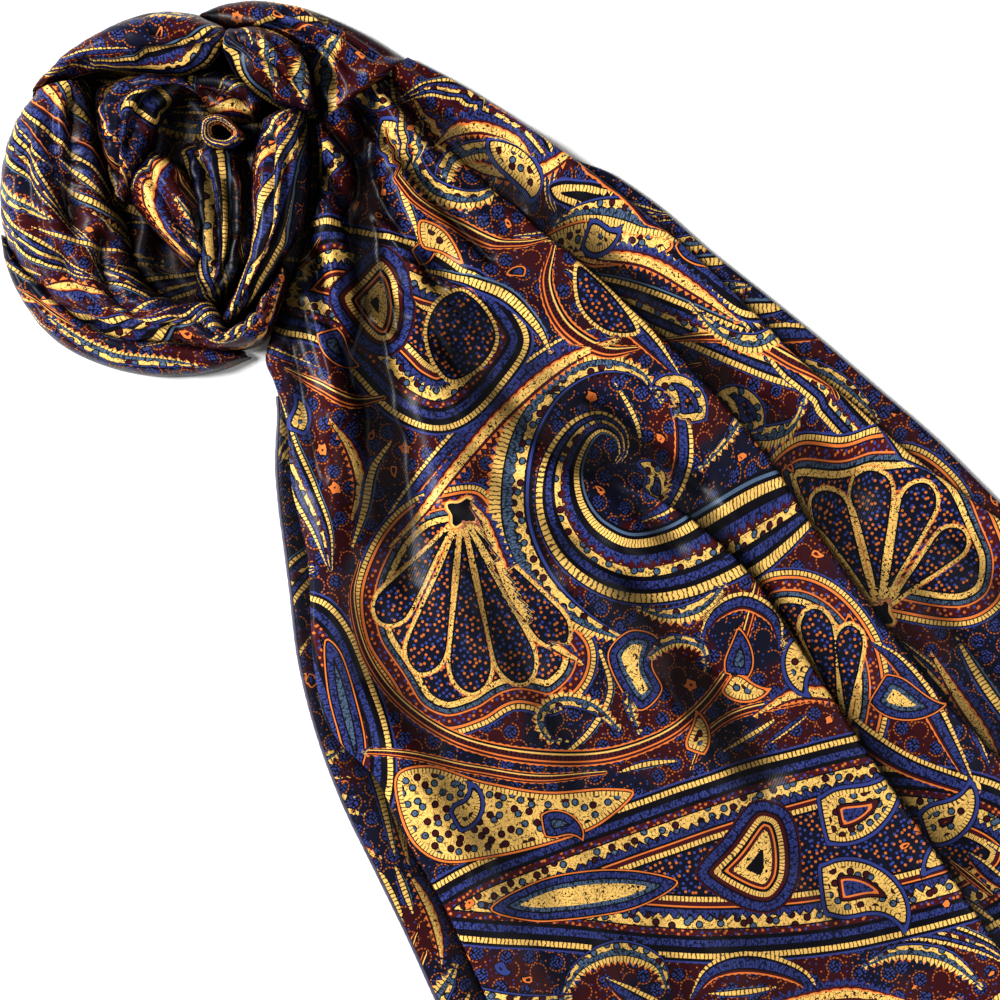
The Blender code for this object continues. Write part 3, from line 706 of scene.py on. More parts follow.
def hidden(x: Any, fold: int) -> Any:
    """How much cloth the pleats hide before x: fold is 2 beyond both, 1 between them, else 0."""
    first, second = ramp(x, *FIRST_HIDES) * (fold > 0), ramp(x, *SECOND_HIDES) * (fold > 1)
    return PLEAT_HIDES * (first + second)


@dataclass(frozen=True)
class Shape:
    """One motif in the flat cloth's places.

    A closed one has an outline; a ribbon has a line whose third column is its half width.
    """

    kind: Kind
    line: np.ndarray
    closed: bool
    layer: int

    def measure(self, at: np.ndarray) -> np.ndarray:
        """Distances from points to the motif.

        Args:
            at: Places in the flat cloth.

        Returns:
            For each point: depth inside, band place, way along, and kind.
        """
        line = self.line[:, :2]
        start, end = (line, np.roll(line, -1, axis=0)) if self.closed else (line[:-1], line[1:])
        step = end - start
        length = np.maximum(np.hypot(step[:, 0], step[:, 1]), 1e-6)
        rel = at[:, None, :] - start[None, :, :]
        t = np.clip((rel * step).sum(axis=2) / length**2, 0.0, 1.0)
        off = rel - t[:, :, None] * step[None, :, :]
        gap = np.hypot(off[:, :, 0], off[:, :, 1])
        best, row = gap.argmin(axis=1), np.arange(len(at))
        near, here = gap[row, best], t[row, best]
        along = run(length)[best] + here * length[best]
        if self.closed:
            (x0, y0), (x1, y1), (px, py) = start.T, end.T, at.T[:, :, None]
            spans = (y0 > py) != (y1 > py)
            safe = np.where(spans, y1 - y0, 1.0)
            crossing = spans & (px < (x1 - x0) * (py - y0) / safe + x0)
            band = depth = np.where(crossing.sum(axis=1) % 2 == 1, near, -near)
        else:
            wide = self.line[:-1, 2][best] * (1.0 - here) + self.line[1:, 2][best] * here
            side = step[best, 0] * rel[row, best, 1] - step[best, 1] * rel[row, best, 0]
            depth = wide - near
            across = np.where(side > 0.0, near, -near) / np.maximum(wide, 0.5)
            band = (np.clip(across, -1.0, 1.0) + 1.0) * OUTLINE_REACH / 2.0
        return np.stack((depth, band, along, np.full(len(at), float(self.kind.value[0]))), axis=1)

    def touches(self, other: "Shape", gap: float = 4.0) -> bool:
        """Whether another motif lies close to this one.

        Args:
            other: The other motif.
            gap: How close counts.

        Returns:
            True if they touch.
        """
        for a, b in ((self, other), (other, self)):
            wide = 0.0 if a.closed else a.line[:, 2]
            if (b.measure(a.line[:, :2])[:, 0] + wide > -gap).any():
                return True
        return False

    def mark(self, at: np.ndarray, out: np.ndarray) -> None:
        """Write the motif into a layer, where it is the nearest.

        Args:
            at: Places in the flat cloth.
            out: The layer's rows, which are changed.
        """
        line = self.line[:, :2]
        reach = 8.0 + (0.0 if self.closed else self.line[:, 2].max())
        inside = (at >= line.min(axis=0) - reach) & (at <= line.max(axis=0) + reach)
        near = np.flatnonzero(inside.all(axis=1))
        for part in np.array_split(near, len(near) * len(line) // 3_000_000 + 2):
            if len(part):
                found = self.measure(at[part])
                better = found[:, 0] > out[part, 0]
                out[part[better]] = found[better]


def teardrop(kind: Kind, layer: int, at: Any, size: float, turn: float, curl: float) -> Shape:
    """A boteh or leaf: a drop whose tip curls to one side.

    Args:
        kind: Its family.
        layer: 0 for the lowest.
        at: Place of its middle.
        size: Its length.
        turn: Direction of its tip, in radians.
        curl: How far the tip curls: 0 is straight and 1 a full hook.

    Returns:
        The motif.
    """
    steps, left, right = 14, [], []
    place = np.array([-0.34, 0.0])
    for k in range(steps + 1):
        t = k / steps
        heading = 2.6 * curl * t**1.7
        half = 0.27 * math.sin(math.pi * min(1.0, 0.10 + 0.90 * t) ** 0.62) ** 0.9
        ahead = np.array([math.cos(heading), math.sin(heading)])
        side = np.array([-ahead[1], ahead[0]]) * max(half, 0.012)
        left.append(place + side)
        right.append(place - side)
        place = place + ahead * (0.92 / steps)
    c, s = math.cos(turn), math.sin(turn)
    ring = np.array(left + right[::-1]) @ np.array([[c, s], [-s, c]]) * size + at
    return Shape(kind, spline(ring, True, 3), True, layer)


def blossom(kind: Kind, layer: int, at: Any, size: float, petals: int, turn: float) -> Shape:
    """A small lobed flower.

    Args:
        kind: Its family.
        layer: 0 for the lowest.
        at: Place of its middle.
        size: Its radius.
        petals: How many lobes.
        turn: Turn of the first lobe, in radians.

    Returns:
        The motif.
    """
    angle = np.linspace(0.0, 2.0 * math.pi, 10 * petals, endpoint=False)
    radius = size * (0.84 + 0.16 * np.cos(petals * (angle - turn)))
    ring = np.stack((radius * np.cos(angle), radius * np.sin(angle)), axis=1) + at
    return Shape(kind, ring, True, layer)


class Room:
    """How far each place of the flat cloth is from the motifs set so far."""

    cell = 3.0
    reach = 66.0

    def __init__(self, low: Span, high: Span) -> None:
        """Start with all the cloth between the two corners free."""
        self.low = np.array(low)
        self.free = np.full(np.ceil((high - self.low) / self.cell).astype(int) + 1, self.reach)

    def take(self, at: Any, r: float) -> None:
        """Mark a disc as taken.

        Args:
            at: Its middle.
            r: Its radius.
        """
        spread, mid = (self.reach + r) / self.cell, (at - self.low) / self.cell
        start = np.clip(np.floor(mid - spread), 0, self.free.shape).astype(int)
        stop = np.clip(np.ceil(mid + spread), 0, self.free.shape).astype(int)
        i, j = np.ogrid[start[0] : stop[0], start[1] : stop[1]]
        part = self.free[start[0] : stop[0], start[1] : stop[1]]
        np.minimum(part, np.hypot(i - mid[0], j - mid[1]) * self.cell - r, out=part)

    def at(self, place: Any) -> float:
        """Free room round a place.

        Args:
            place: Where in the flat cloth.

        Returns:
            The distance to the nearest motif, or -1 beyond the cloth.
        """
        i, j = np.round((place - self.low) / self.cell).astype(int)
        inside = 0 <= i < self.free.shape[0] and 0 <= j < self.free.shape[1]
        return self.free[i, j] if inside else -1.0


@dataclass
class Print:
    """The whole printed design in the flat cloth's places."""

    low: Span = (-1260.0, -470.0)
    high: Span = (1400.0, 760.0)
    shapes: list[Shape] = field(default_factory=list)
    room: Room = field(init=False)

    def __post_init__(self) -> None:
        """Start with all the cloth free."""
        self.room = Room(self.low, self.high)

    def build(self) -> "Print":
        """Place every motif, the large ones as listed and then ever smaller ones between them.

        Returns:
            The print itself.
        """
        for name, layer, fold, places in re.findall(r"([a-z]+) (\d) (\d)([^a-z]+)", MOTIFS):
            points = np.array([[float(n) for n in place.split(",")] for place in places.split()])
            kind, closed, at = Kind[name.upper()], points.shape[1] == 2, plan(points[:, :2])
            at[:, 1] += hidden(at[:, 0], int(fold))
            if points.shape[1] == 5:
                size, turn, curl = points[0, 2:]
                self.add(teardrop(kind, int(layer), at[0], size, math.radians(turn) + TURN, curl))
            else:
                line = spline(np.hstack((at, points[:, 2:])), closed, 7 if closed else 9)
                self.add(Shape(kind, line, closed, int(layer)))
        self.fans()
        self.wound_end()
        # From large to small: how many tries, sizes in U, and the start of the fixed sequence.
        self.fill(1500, 60.0, 4.0, 10)
        self.flow(3000, (15.0, 24.0), 220.0, 20)
        self.fill(2500, 36.0, 1.5, 11)
        self.flow(6000, (8.0, 12.0), 220.0, 21)
        self.fill(5000, 26.0, 1.5, 12)
        self.flow(12000, (4.0, 6.5), 180.0, 22)
        self.fill(9000, 18.0, 1.5, 14)
        self.fill(14000, 10.0, 1.5, 13)
        self.stack()
        LOG.info("print: %d motifs", len(self.shapes))
        return self

    def stack(self) -> None:
        """Give every motif the lowest layer where it meets no other, above what it covers."""
        placed: list[Shape] = []
        boxes = np.empty((0, 4))
        for shape in sorted(self.shapes, key=lambda shape: shape.layer):
            line = shape.line[:, :2]
            wide = 4.0 + (0.0 if shape.closed else shape.line[:, 2].max())
            low, high = line.min(axis=0) - wide, line.max(axis=0) + wide
            level = 0
            for k in np.flatnonzero(((boxes[:, :2] < high) & (boxes[:, 2:] > low)).all(axis=1)):
                if placed[k].layer >= level and shape.touches(placed[k]):
                    level = placed[k].layer + 1
            placed.append(Shape(shape.kind, shape.line, shape.closed, min(level, LAYERS - 1)))
            boxes = np.vstack((boxes, np.concatenate((low, high))))
        self.shapes = placed

    def add(self, shape: Shape) -> None:
        """Keep a motif and the room it takes.

        Args:
            shape: The motif.
        """
        self.shapes.append(shape)
        middle = shape.line.mean(axis=0)
        for at in shape.line[:: 3 if shape.closed else 2]:
            for t in (0.95, 0.66, 0.33) if shape.closed else ():
                self.room.take(middle + (at - middle) * t, 8.0)
            if not shape.closed:
                self.room.take(at[:2], at[2])

    def fans(self) -> None:
        """Petals and the dark heart of each fan flower."""
        for heart, fold, tips in FANS:
            middle = plan([heart])[0]
            for tx, ty, half in tips:
                axis = plan([(tx, ty)])[0] - middle
                side = np.array((-axis[1], axis[0])) / np.hypot(*axis) * half
                at = np.array(
                    [middle + axis * t + side * w for t, w in PETAL_EDGE]
                    + [middle + axis * t - side * w for t, w in PETAL_EDGE[-2::-1]]
                )
                at[:, 1] += hidden(at[:, 0], fold)
                self.add(Shape(Kind.PETAL, spline(at, True, 6), True, 2))
            self.add(blossom(Kind.HEART, 4, middle + (0.0, hidden(middle[0], fold)), 20.0, 4, 0.4))

    def wound_end(self) -> None:
        """Long stripes and drops of the border that the wound stretches are cut from."""
        # Kind, place across, half width, sway and phase.
        for kind, level, half, sway, phase in (
            (Kind.STRIPES, 108.0, 34.0, 26.0, 0.0),
            (Kind.STRIPES, 222.0, 30.0, 24.0, 1.6),
            (Kind.CRESCENT, 52.0, 15.0, 18.0, 2.2),
            (Kind.STRIPES, 330.0, 34.0, 22.0, 2.6),
            (Kind.BLUEBAND, 165.0, 11.0, 24.0, 1.0),
            (Kind.FLAME, 392.0, 15.0, 16.0, 0.3),
        ):
            x = np.linspace(-1240.0, -8.0, 60)
            y = level + sway * np.sin(x / 105.0 + phase) + 0.4 * sway * np.sin(x / 47.0 + 2 * phase)
            wide = half * (0.62 + 0.45 * np.sin(x / 61.0 + 3.0 * phase))
            self.add(Shape(kind, np.stack((x, y, wide), axis=1), False, 0))

    def fill(self, count: int, radius: float, gap: float, seed: int) -> None:
        """Set smaller motifs in the room between the larger ones.

        Args:
            count: How many tries.
            radius: Half the length of the motifs.
            gap: Clear room around each.
            seed: Start of the fixed sequence.
        """
        small = (Kind.FLORET, Kind.BLUELEAF, Kind.GOLDLEAF, Kind.FLORET)
        kinds = (Kind.BOTEH, Kind.BLUELEAF, Kind.GOLDLEAF, Kind.SCROLL, Kind.SCALES)
        if radius >= 50.0:
            kinds = (Kind.GREAT, Kind.FAN, Kind.GREAT, Kind.FRAME, Kind.GREAT)
        span = np.array(self.high) - self.low
        for at in np.random.default_rng(seed).random((count, 4)):
            place, r = self.low + span * at[:2], radius * (0.8 + 0.35 * at[2])
            if self.room.at(place) < r + gap:
                continue
            self.room.take(place, r)
            turn = 2.0 * math.pi * at[3]
            curl = (0.45 + 0.5 * at[3]) * (1.0 if at[0] > 0.5 else -1.0)
            if radius >= 15.0:
                shape = teardrop(kinds[int(at[2] * 4.999)], 1, place, 1.75 * r, turn, curl)
            elif small[int(at[2] * 3.999)] is Kind.FLORET:
                shape = blossom(Kind.FLORET, 1, place, r * 0.8, 4 + int(at[3] * 2.9), turn)
            else:
                curl = 0.6 * math.sin(7.0 * turn)
                shape = teardrop(small[int(at[2] * 3.999)], 1, place, 1.9 * r, turn, curl)
            self.shapes.append(shape)

    def flow(self, count: int, widths: Span, longest: float, seed: int) -> None:
        """Run curved ribbons through the free room.

        Args:
            count: How many tries.
            widths: Least and greatest half width.
            longest: Greatest length to each side of the start.
            seed: Start of the fixed sequence.
        """
        kinds = (Kind.COMBLINE, Kind.RIBBON, Kind.COMBLINE, Kind.BLUEBAND)
        if widths[0] > 7.0:
            kinds = (Kind.CRESCENT, Kind.COMBLINE, Kind.BLUEBAND, Kind.FLAME)
        if widths[0] > 14.0:
            kinds = (Kind.STRIPES, Kind.CRESCENT, Kind.STRIPES)
        span, step = np.array(self.high) - self.low, 7.0
        for at in np.random.default_rng(seed).random((count, 5)):
            start, half = self.low + span * at[:2], widths[0] + (widths[1] - widths[0]) * at[2]
            if self.room.at(start) < half + 1.0:
                continue
            arms = []
            for way in (1.0, -1.0):
                place, arm = start, []
                back = 0.0 if way > 0 else math.pi
                heading = self.heading(place) + back
                while len(arm) * step < longest:
                    place = place + step * np.array((math.cos(heading), math.sin(heading)))
                    heading += way * (at[3] - 0.5) * 0.07 * step / 4.0
                    heading += 0.16 * math.sin(self.heading(place) + back - heading)
                    taper = max(1.0 - len(arm) * step / longest, 0.3)
                    if self.room.at(place) < half * taper + 1.0:
                        break
                    arm.append(place)
                arms.append(arm)
            line = np.array(arms[1][::-1] + [start] + arms[0])
            if len(line) * step < max(7.0 * half, 60.0):
                continue
            t = np.linspace(-1.0, 1.0, len(line))
            wide = np.maximum(half * (1.0 - np.abs(t) ** 2.4), 1.2)
            ribbon = spline(np.hstack((line, wide[:, None])), False, 2)
            self.shapes.append(Shape(kinds[int(at[4] * (len(kinds) - 0.001))], ribbon, False, 0))
            for place, r in zip(line, wide):
                self.room.take(place, r)

    @staticmethod
    def heading(place: np.ndarray) -> float:
        """Direction of the flowing ribbons.

        Args:
            place: Where in the flat cloth.

        Returns:
            Their direction in radians.
        """
        x, y = place
        if x < 0.0:
            return 0.35 * math.sin(x / 90.0) + 0.25 * math.sin(y / 60.0)
        swirl = 1.5 * math.sin(x / 150.0 + 0.8 * math.sin(y / 120.0))
        return swirl + 1.2 * math.sin(y / 110.0 - x / 260.0)

    def read(self, at: np.ndarray) -> Iterable[np.ndarray]:
        """Where each point of the cloth lies in the motifs.

        Args:
            at: Places in the flat cloth, one row each.

        Yields:
            For each layer a row per point: depth inside, band place, way along, and kind.
        """
        for layer in range(LAYERS):
            out = np.tile((-9.0, 0.0, 0.0, 0.0), (len(at), 1))
            for shape in self.shapes:
                if shape.layer == layer:
                    shape.mark(at, out)
            yield out


# The cloth's meshes.
@dataclass
class Piece:
    """One shown sheet of cloth and what it stands for."""

    name: str
    grid: Grid
    slot: str
    flat: Optional[np.ndarray] = None
    stands_in: bool = True
    wrap: bool = False
    lay: Optional[np.ndarray] = None

    def build(
        self,
        material: bpy.types.Material,
        design: Optional[Print] = None,
        painted_fold_shade: Optional["Hollows"] = None,
    ) -> bpy.types.Object:
        """Make the sheet's mesh, with the print's fields at its points.

        Args:
            material: The sheet's finish.
            design: The print, on a printed sheet.
            painted_fold_shade: The painted shade and highlight of the folds, on a printed sheet.

        Returns:
            The new object, which rides on the scarf's body.
        """
        n, m = self.grid.shape[:2]
        i, j = np.meshgrid(np.arange(n - 1), np.arange(m if self.wrap else m - 1), indexing="ij")
        k = (j + 1) % m
        faces = np.stack((i * m + j, (i + 1) * m + j, (i + 1) * m + k, i * m + k), axis=2)
        mesh = bpy.data.meshes.new(self.name)
        mesh.from_pydata(self.grid.reshape(-1, 3).tolist(), [], faces.reshape(-1, 4).tolist())
        mesh.polygons.foreach_set("use_smooth", [True] * len(mesh.polygons))
        mesh.materials.append(material)
        flat = (self.grid[:, :, :2] / U if self.flat is None else self.flat).reshape(-1, 2)

        def attribute(name: str, kind: str, key: str, values: np.ndarray) -> None:
            """Keep values at the mesh's points for the shader."""
            kept = mesh.attributes.new(name, kind, "POINT")
            kept.data.foreach_set(key, values.astype(np.float32).ravel())

        attribute("print_at", "FLOAT_VECTOR", "vector", np.pad(flat, ((0, 0), (0, 1))))
        if design and painted_fold_shade:
            for k, layer in enumerate(design.read(flat)):
                attribute(f"layer_{k}", "FLOAT_COLOR", "color", layer)
            # The painted shade and highlight of the folds, which the shader multiplies into the
            # colour.
            attribute("lit", "FLOAT", "value", painted_fold_shade.light(self))
        mesh.update()
        made = bpy.data.objects.new(self.name, mesh)
        bpy.context.scene.collection.objects.link(made)
        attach(made, "root")
        if self.stands_in:
            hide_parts(self.slot)
        LOG.info("%s: %d faces", self.name, len(mesh.polygons))
        return made

    def area(self) -> float:
        """Area of the sheet as laid, in square metres."""
        a, b = np.diff(self.grid, axis=0)[:, :-1], np.diff(self.grid, axis=1)[:-1]
        return float(np.linalg.norm(np.cross(a, b), axis=2).sum())


class Hollows:
    """Painted shade in the folds' troughs and painted highlight on their ridges, from how deep each
    place lies among the folds round it, by the height of the cloth's top.
    """

    cell = 4.0 * U
    margin = 40
    blurs = (4.2, 9.0)
    # Painted shade in the troughs, then painted highlight on the ridges.
    open_depth, dark_depth, darkest = 0.0001, 0.0015, 0.14
    ridge_start, ridge_height, ridge_gain = 0.0003, 0.0020, 0.40

    def __init__(self, pieces: Iterable[Piece]) -> None:
        """Draw the height map of the sheets, blurred over a narrow and a wide reach.

        Args:
            pieces: The sheets.
        """
        points = []
        for piece in pieces:
            middle = (piece.grid[1:] + piece.grid[:-1]) / 2.0
            points.append(np.concatenate((piece.grid, middle)).reshape(-1, 3))
        every = np.vstack(points)
        self.low = every[:, :2].min(axis=0) - self.margin * self.cell
        span = every[:, :2].max(axis=0) - self.low
        counts = np.ceil(span / self.cell).astype(int) + self.margin
        top = np.zeros(counts)
        i, j = np.round((every[:, :2] - self.low) / self.cell).astype(int).T
        np.maximum.at(top, (i, j), every[:, 2])
        turned = np.fft.rfft2(top)
        fx, fy = np.fft.fftfreq(counts[0])[:, None], np.fft.rfftfreq(counts[1])[None, :]
        self.maps = []
        for blur in self.blurs:
            keep = np.exp(-2.0 * (math.pi * blur) ** 2 * (fx**2 + fy**2))
            self.maps.append(np.fft.irfft2(turned * keep, s=tuple(counts)))

    def light(self, piece: Piece) -> np.ndarray:
        """Painted shade and highlight at each point of a sheet: the share of light that it stands
        for, which scales the colour.

        Args:
            piece: The sheet.

        Returns:
            About 1 on open cloth, less in the troughs as painted shade and a little more on the
            ridges as painted highlight.
        """
        at = piece.grid.reshape(-1, 3)
        height = at[:, 2] if piece.lay is None else piece.lay.ravel()
        place = (at[:, :2] - self.low) / self.cell
        i, j = np.floor(place).astype(int).T
        a, b = (place - np.floor(place)).T
        deep = 0.0
        for level in self.maps:
            here = (level[i, j] * (1 - a) + level[i + 1, j] * a) * (1 - b)
            here += (level[i, j + 1] * (1 - a) + level[i + 1, j + 1] * a) * b
            deep = deep + 0.5 * (here - height)
        dark = np.exp(-np.maximum(deep - self.open_depth, 0.0) / self.dark_depth)
        raised = np.clip((-deep - self.ridge_start) / self.ridge_height, 0.0, 1.0)
        return np.maximum(dark, self.darkest) * (1.0 + self.ridge_gain * raised)


@dataclass(frozen=True)
class Under:
    """An under-layer that shows below an edge of the panel; side is 1 on the right, else -1."""

    node: str
    side: float
    span: Span
    print_shift: float


@dataclass(frozen=True)
class Laid:
    """The laid part: the panel, its under-layers and the hems."""

    start: float = 43.0
    even_end: float = 1060.0
    end: float = 1344.0
    # Where along the cloth, in U, the section's form changes.
    edges_rise: Span = (150.0, 196.0)
    neck_spreads: Span = (120.0, 240.0)
    right_settles: Span = (880.0, 930.0)
    left_settles: Span = (1200.0, 1260.0)
    pleats_flatten: Span = (1110.0, 1290.0)
    folds_fade: Span = (1180.0, 1330.0)
    first_pleat: float = 100.0
    second_pleat: float = 440.0
    pleat_grows: float = 220.0
    # Counts of the meshes' rows and columns.
    even_rows: int = 283
    end_rows: int = 25
    columns: int = 296
    band_rows: int = 150
    band_columns: int = 26
    side_hem_rows: int = 240
    side_hem_sides: int = 8
    end_hem_rows: int = 420
    end_hem_columns: int = 15
    # Uneven lie of the panel: height, stretch along, size and seed.
    uneven: Rows = ((0.0007, 0.6, 110.0, 4), (0.0003, 0.7, 46.0, 5), (0.0001, 1.0, 17.0, 6))
    unders: tuple[Under, ...] = (
        Under("right_underlayer", 1.0, (222.0, 850.0), 164.0),
        Under("left_underlayer", -1.0, (222.0, 1170.0), -44.0),
    )

    def row(self, x: float) -> PanelRow:
        """The section lines at x, in metres."""
        table = np.array(PANEL, dtype=float)
        return PanelRow(*(hermite(table[:, 0], table[:, 1:], np.array([x]))[0] * U))

    def section(self, x: float) -> list[Span]:
        """The cloth's path across the panel at x.

        Args:
            x: Place along, in U.

        Returns:
            54 places across and heights, in metres.
        """
        row = self.row(x)
        shut = 1.0 - ramp(x, *self.pleats_flatten)
        lifted = (EDGE_ROLL + WALL + LAY_GAP) * smooth(x, *self.edges_rise)
        over_right = lifted * (1.0 - smooth(x, *self.right_settles))
        over_left = lifted * (1.0 - smooth(x, *self.left_settles))
        right_end, left_end = row.fold_c, row.fold_left
        free, neck = 1.0 - smooth(x, *self.folds_fade), 1.0 - smooth(x, *self.neck_spreads)
        roll = END_ROLL + (PANEL_ROLL - END_ROLL) * free

        def folds(y: float) -> float:
            """Height of the soft folds at y."""
            edge = smooth((right_end - y) / 0.020) * smooth((y - left_end) / 0.020)
            return fold_height(RIDGES, x, y / U, 0.45) * free * (edge + (1 - edge) * neck)

        def ground(y: float) -> float:
            """Height away from the pleats and edges.

            Args:
                y: Place across, in metres.

            Returns:
                The height, in metres.
            """
            z = HALF + folds(y)
            for inside, over in ((right_end - y, over_right), (y - left_end, over_left)):
                z += over * (1.0 - smooth((inside - 0.010) / (BAND_LAP * U + 0.006)))
                z += roll * (1.0 - smooth((inside - 0.006) / 0.016))
            return z

        lip = min(LIP, 0.3 * (right_end - left_end)) * (1.0 - 0.7 * neck)
        path = edge_turn(-1.0, left_end, HALF + over_left + folds(left_end), roll, lip)
        last, stop = path[-1][0] + 0.0006, right_end - roll / 2.0 - 0.0006
        width = stop - last
        reach = min(0.009, width / 7.0)
        fold_b = max(row.fold_b, last + min(0.38 * width, 0.030))
        fold_a = max(row.fold_a, fold_b + min(0.24 * width, 0.020))
        fold_a = min(fold_a, stop - min(0.12 * width, 0.006))
        for fold, begins, parts in (
            (fold_b, self.second_pleat, np.linspace(0.06, 0.97, 12)),
            (fold_a, self.first_pleat, (0.15, 0.4, 0.65, 0.9)),
        ):
            grow = ramp(x, begins, begins + self.pleat_grows) * shut
            step = (WALL + LAY_GAP + PLEAT_LIFT) * smooth(grow / 0.4)
            for t in parts:
                y = last + (fold - 1.05 * reach - last) * t
                path.append((y, ground(y) + step * smooth((y - (fold - 0.050)) / 0.040)))
            path += pleat(fold, ground(fold), grow, reach)
            last = path[-1][0]
        for t in (0.2, 0.45, 0.7, 0.95):
            y = last + (stop - last) * t
            path.append((y, ground(y)))
        turn = edge_turn(1.0, right_end, HALF + over_right + folds(right_end), roll, lip)
        return path + turn[::-1]

    def panel(self) -> Piece:
        """The panel with both pleats, its finer creases and its uneven lie.

        Returns:
            The sheet.
        """
        even = np.linspace(self.start, self.even_end, self.even_rows)
        places = np.concatenate((even, np.linspace(self.even_end, self.end, self.end_rows)[1:]))
        paths = np.array([self.section(x) for x in places])
        gaps = np.linalg.norm(np.diff(paths, axis=1), axis=2).mean(axis=0)
        steps = np.clip(np.round(gaps / gaps.sum() * self.columns).astype(int), 1, None)
        ends = 2 * paths[:, [0, -1]] - paths[:, [1, -2]]
        padded = np.concatenate((ends[:, :1], paths, ends[:, 1:]), axis=1)
        columns = [
            blend(*(padded[:, k + i] for i in range(4)), t)
            for k, count in enumerate(steps)
            for t in np.arange(count) / count
        ]
        fine = np.stack(columns + [paths[:, -1]], axis=1)
        anchor = steps[:12].sum()
        x = np.broadcast_to(places[:, None], fine.shape[:2])
        grid = np.concatenate((x[:, :, None] * U, fine), axis=2)
        normal, way = outward(grid), way_across(grid)
        q = grid[:, anchor, 1][:, None] / U + way - way[:, anchor][:, None]
        grid = grid + normal * HALF
        extra = 1.5 * fold_height(CREASES, x, grid[:, :, 1] / U, 0.3)
        for height, stretched, size, seed in self.uneven:
            extra = extra + height * soft_noise(x * stretched, q, size, seed)
        base = grid[:, :, 2].copy()
        lay = base + extra * smooth(normal[:, :, 2] / 0.7) * smooth((self.end - 20.0 - x) / 120.0)
        grid[:, :, 2] = np.maximum(base + settled(lay) - settled(base), 0.0)
        return Piece("panel_cloth", grid, "main_panel", np.stack((x, q), axis=2), lay=lay)

    def edge(self, x: float, under: Under) -> Span:
        """Where an under-layer and the panel over it end.

        Args:
            x: Place along, in U.
            under: The under-layer.

        Returns:
            Place across of the under-layer's outer edge and of the panel's, in metres.
        """
        row, (start, stop), side = self.row(x), under.span, under.side
        outer, cover = (row.right, row.fold_c) if side > 0 else (row.left, row.fold_left)
        outer -= side * 0.0030 * (1.0 - smooth(min(x - start, stop - x) / 40.0))
        if side < 0:
            outer += 0.75 * (cover - outer) * (1.0 - smooth((x - start) / 110.0))
        return outer, cover

    def band(self, under: Under) -> Piece:
        """The strip of cloth that shows below one edge of the panel.

        Args:
            under: The under-layer.

        Returns:
            The sheet.
        """
        rows = []
        for x in np.linspace(*under.span, self.band_rows):
            outer, cover = self.edge(x, under)
            reach = max(under.side * (outer - cover), 0.001) + BAND_LAP * U
            path = edge_turn(under.side, outer, HALF, EDGE_ROLL, LIP)[1:]
            for t in np.linspace(0.06, 1.0, self.band_columns):
                inside = EDGE_ROLL + (reach - EDGE_ROLL) * t
                down = smooth((inside - LIP - 0.003) / max(reach - LIP - 0.006, 0.004))
                path.append((outer - under.side * inside, HALF + EDGE_ROLL * (1.0 - down)))
            rows.append([(x * U, y, z) for y, z in path[::-1]])
        grid = np.array(rows)
        normal = outward(grid)
        x, q = grid[:, :, 0] / U, grid[:, :, 1] / U + under.print_shift
        grid = grid + normal * HALF
        grid[:, :, 2] += 0.00022 * soft_noise(x, q, 38.0, 9) * smooth(normal[:, :, 2] / 0.7)
        grid[:, :, 2] = np.maximum(grid[:, :, 2], 0.0)
        return Piece(f"{under.node}_cloth", grid, under.node, np.stack((x, q), axis=2))

    def side_hem(self, under: Under) -> Piece:
        """The thin rolled hem along an under-layer's outer edge.

        Args:
            under: The under-layer.

        Returns:
            The hem, as a closed tube.
        """
        places = np.linspace(under.span[0] + 6.0, under.span[1] - 6.0, self.side_hem_rows)
        ys = [self.edge(x, under)[0] - under.side * 0.0002 for x in places]
        line = np.stack((places * U, ys, np.full(len(places), SIDE_HEM_HEIGHT)), axis=1)
        along = np.gradient(line, axis=0)
        along /= np.linalg.norm(along, axis=1, keepdims=True)
        side = np.cross(along, (0.0, 0.0, 1.0))
        side /= np.linalg.norm(side, axis=1, keepdims=True)
        up = np.cross(side, along)
        way = run(np.linalg.norm(np.diff(line, axis=0), axis=1))
        stitch = np.abs(np.sin(math.pi * way / SIDE_HEM_STITCH))[:, None, None]
        turn = np.linspace(0.0, 2.0 * math.pi, self.side_hem_sides, endpoint=False)[None, :, None]
        round_it = side[:, None] * np.cos(turn) + up[:, None] * np.sin(turn)
        grid = line[:, None] + SIDE_HEM_RADIUS * (0.82 + 0.18 * stitch) * round_it
        name = under.node.replace("underlayer", "side_hem")
        return Piece(name, grid, under.node, stands_in=False, wrap=True)

    def end_hem(self) -> Piece:
        """The rolled hem of the free end.

        Returns:
            The hem.
        """
        ys = [p[0] for p in self.section(self.end)]
        y = np.linspace(min(ys), max(ys), self.end_hem_rows)[:, None]
        turn = np.linspace(math.pi, -0.10 * math.pi, self.end_hem_columns)[None, :]
        stitch = np.abs(np.sin(math.pi * y / HEM_STITCH)) ** 0.5
        wobble = 0.0002 * np.sin(y / 0.011) + 0.0002 * np.sin(y / 0.0047)
        middle = self.end * U + SEAM_GAP + HEM_WIDTH / 2.0
        x = middle + wobble + HEM_WIDTH / 2.0 * np.cos(turn)
        z = HEM_HEIGHT * (0.80 + 0.20 * stitch) * np.maximum(np.sin(turn), 0.0) ** 0.8
        grid = np.stack((x, np.broadcast_to(y, z.shape), z), axis=2)[:, ::-1]
        return Piece("end_hem_roll", grid, "free_end_hem", grid[:, :, :2] / U)


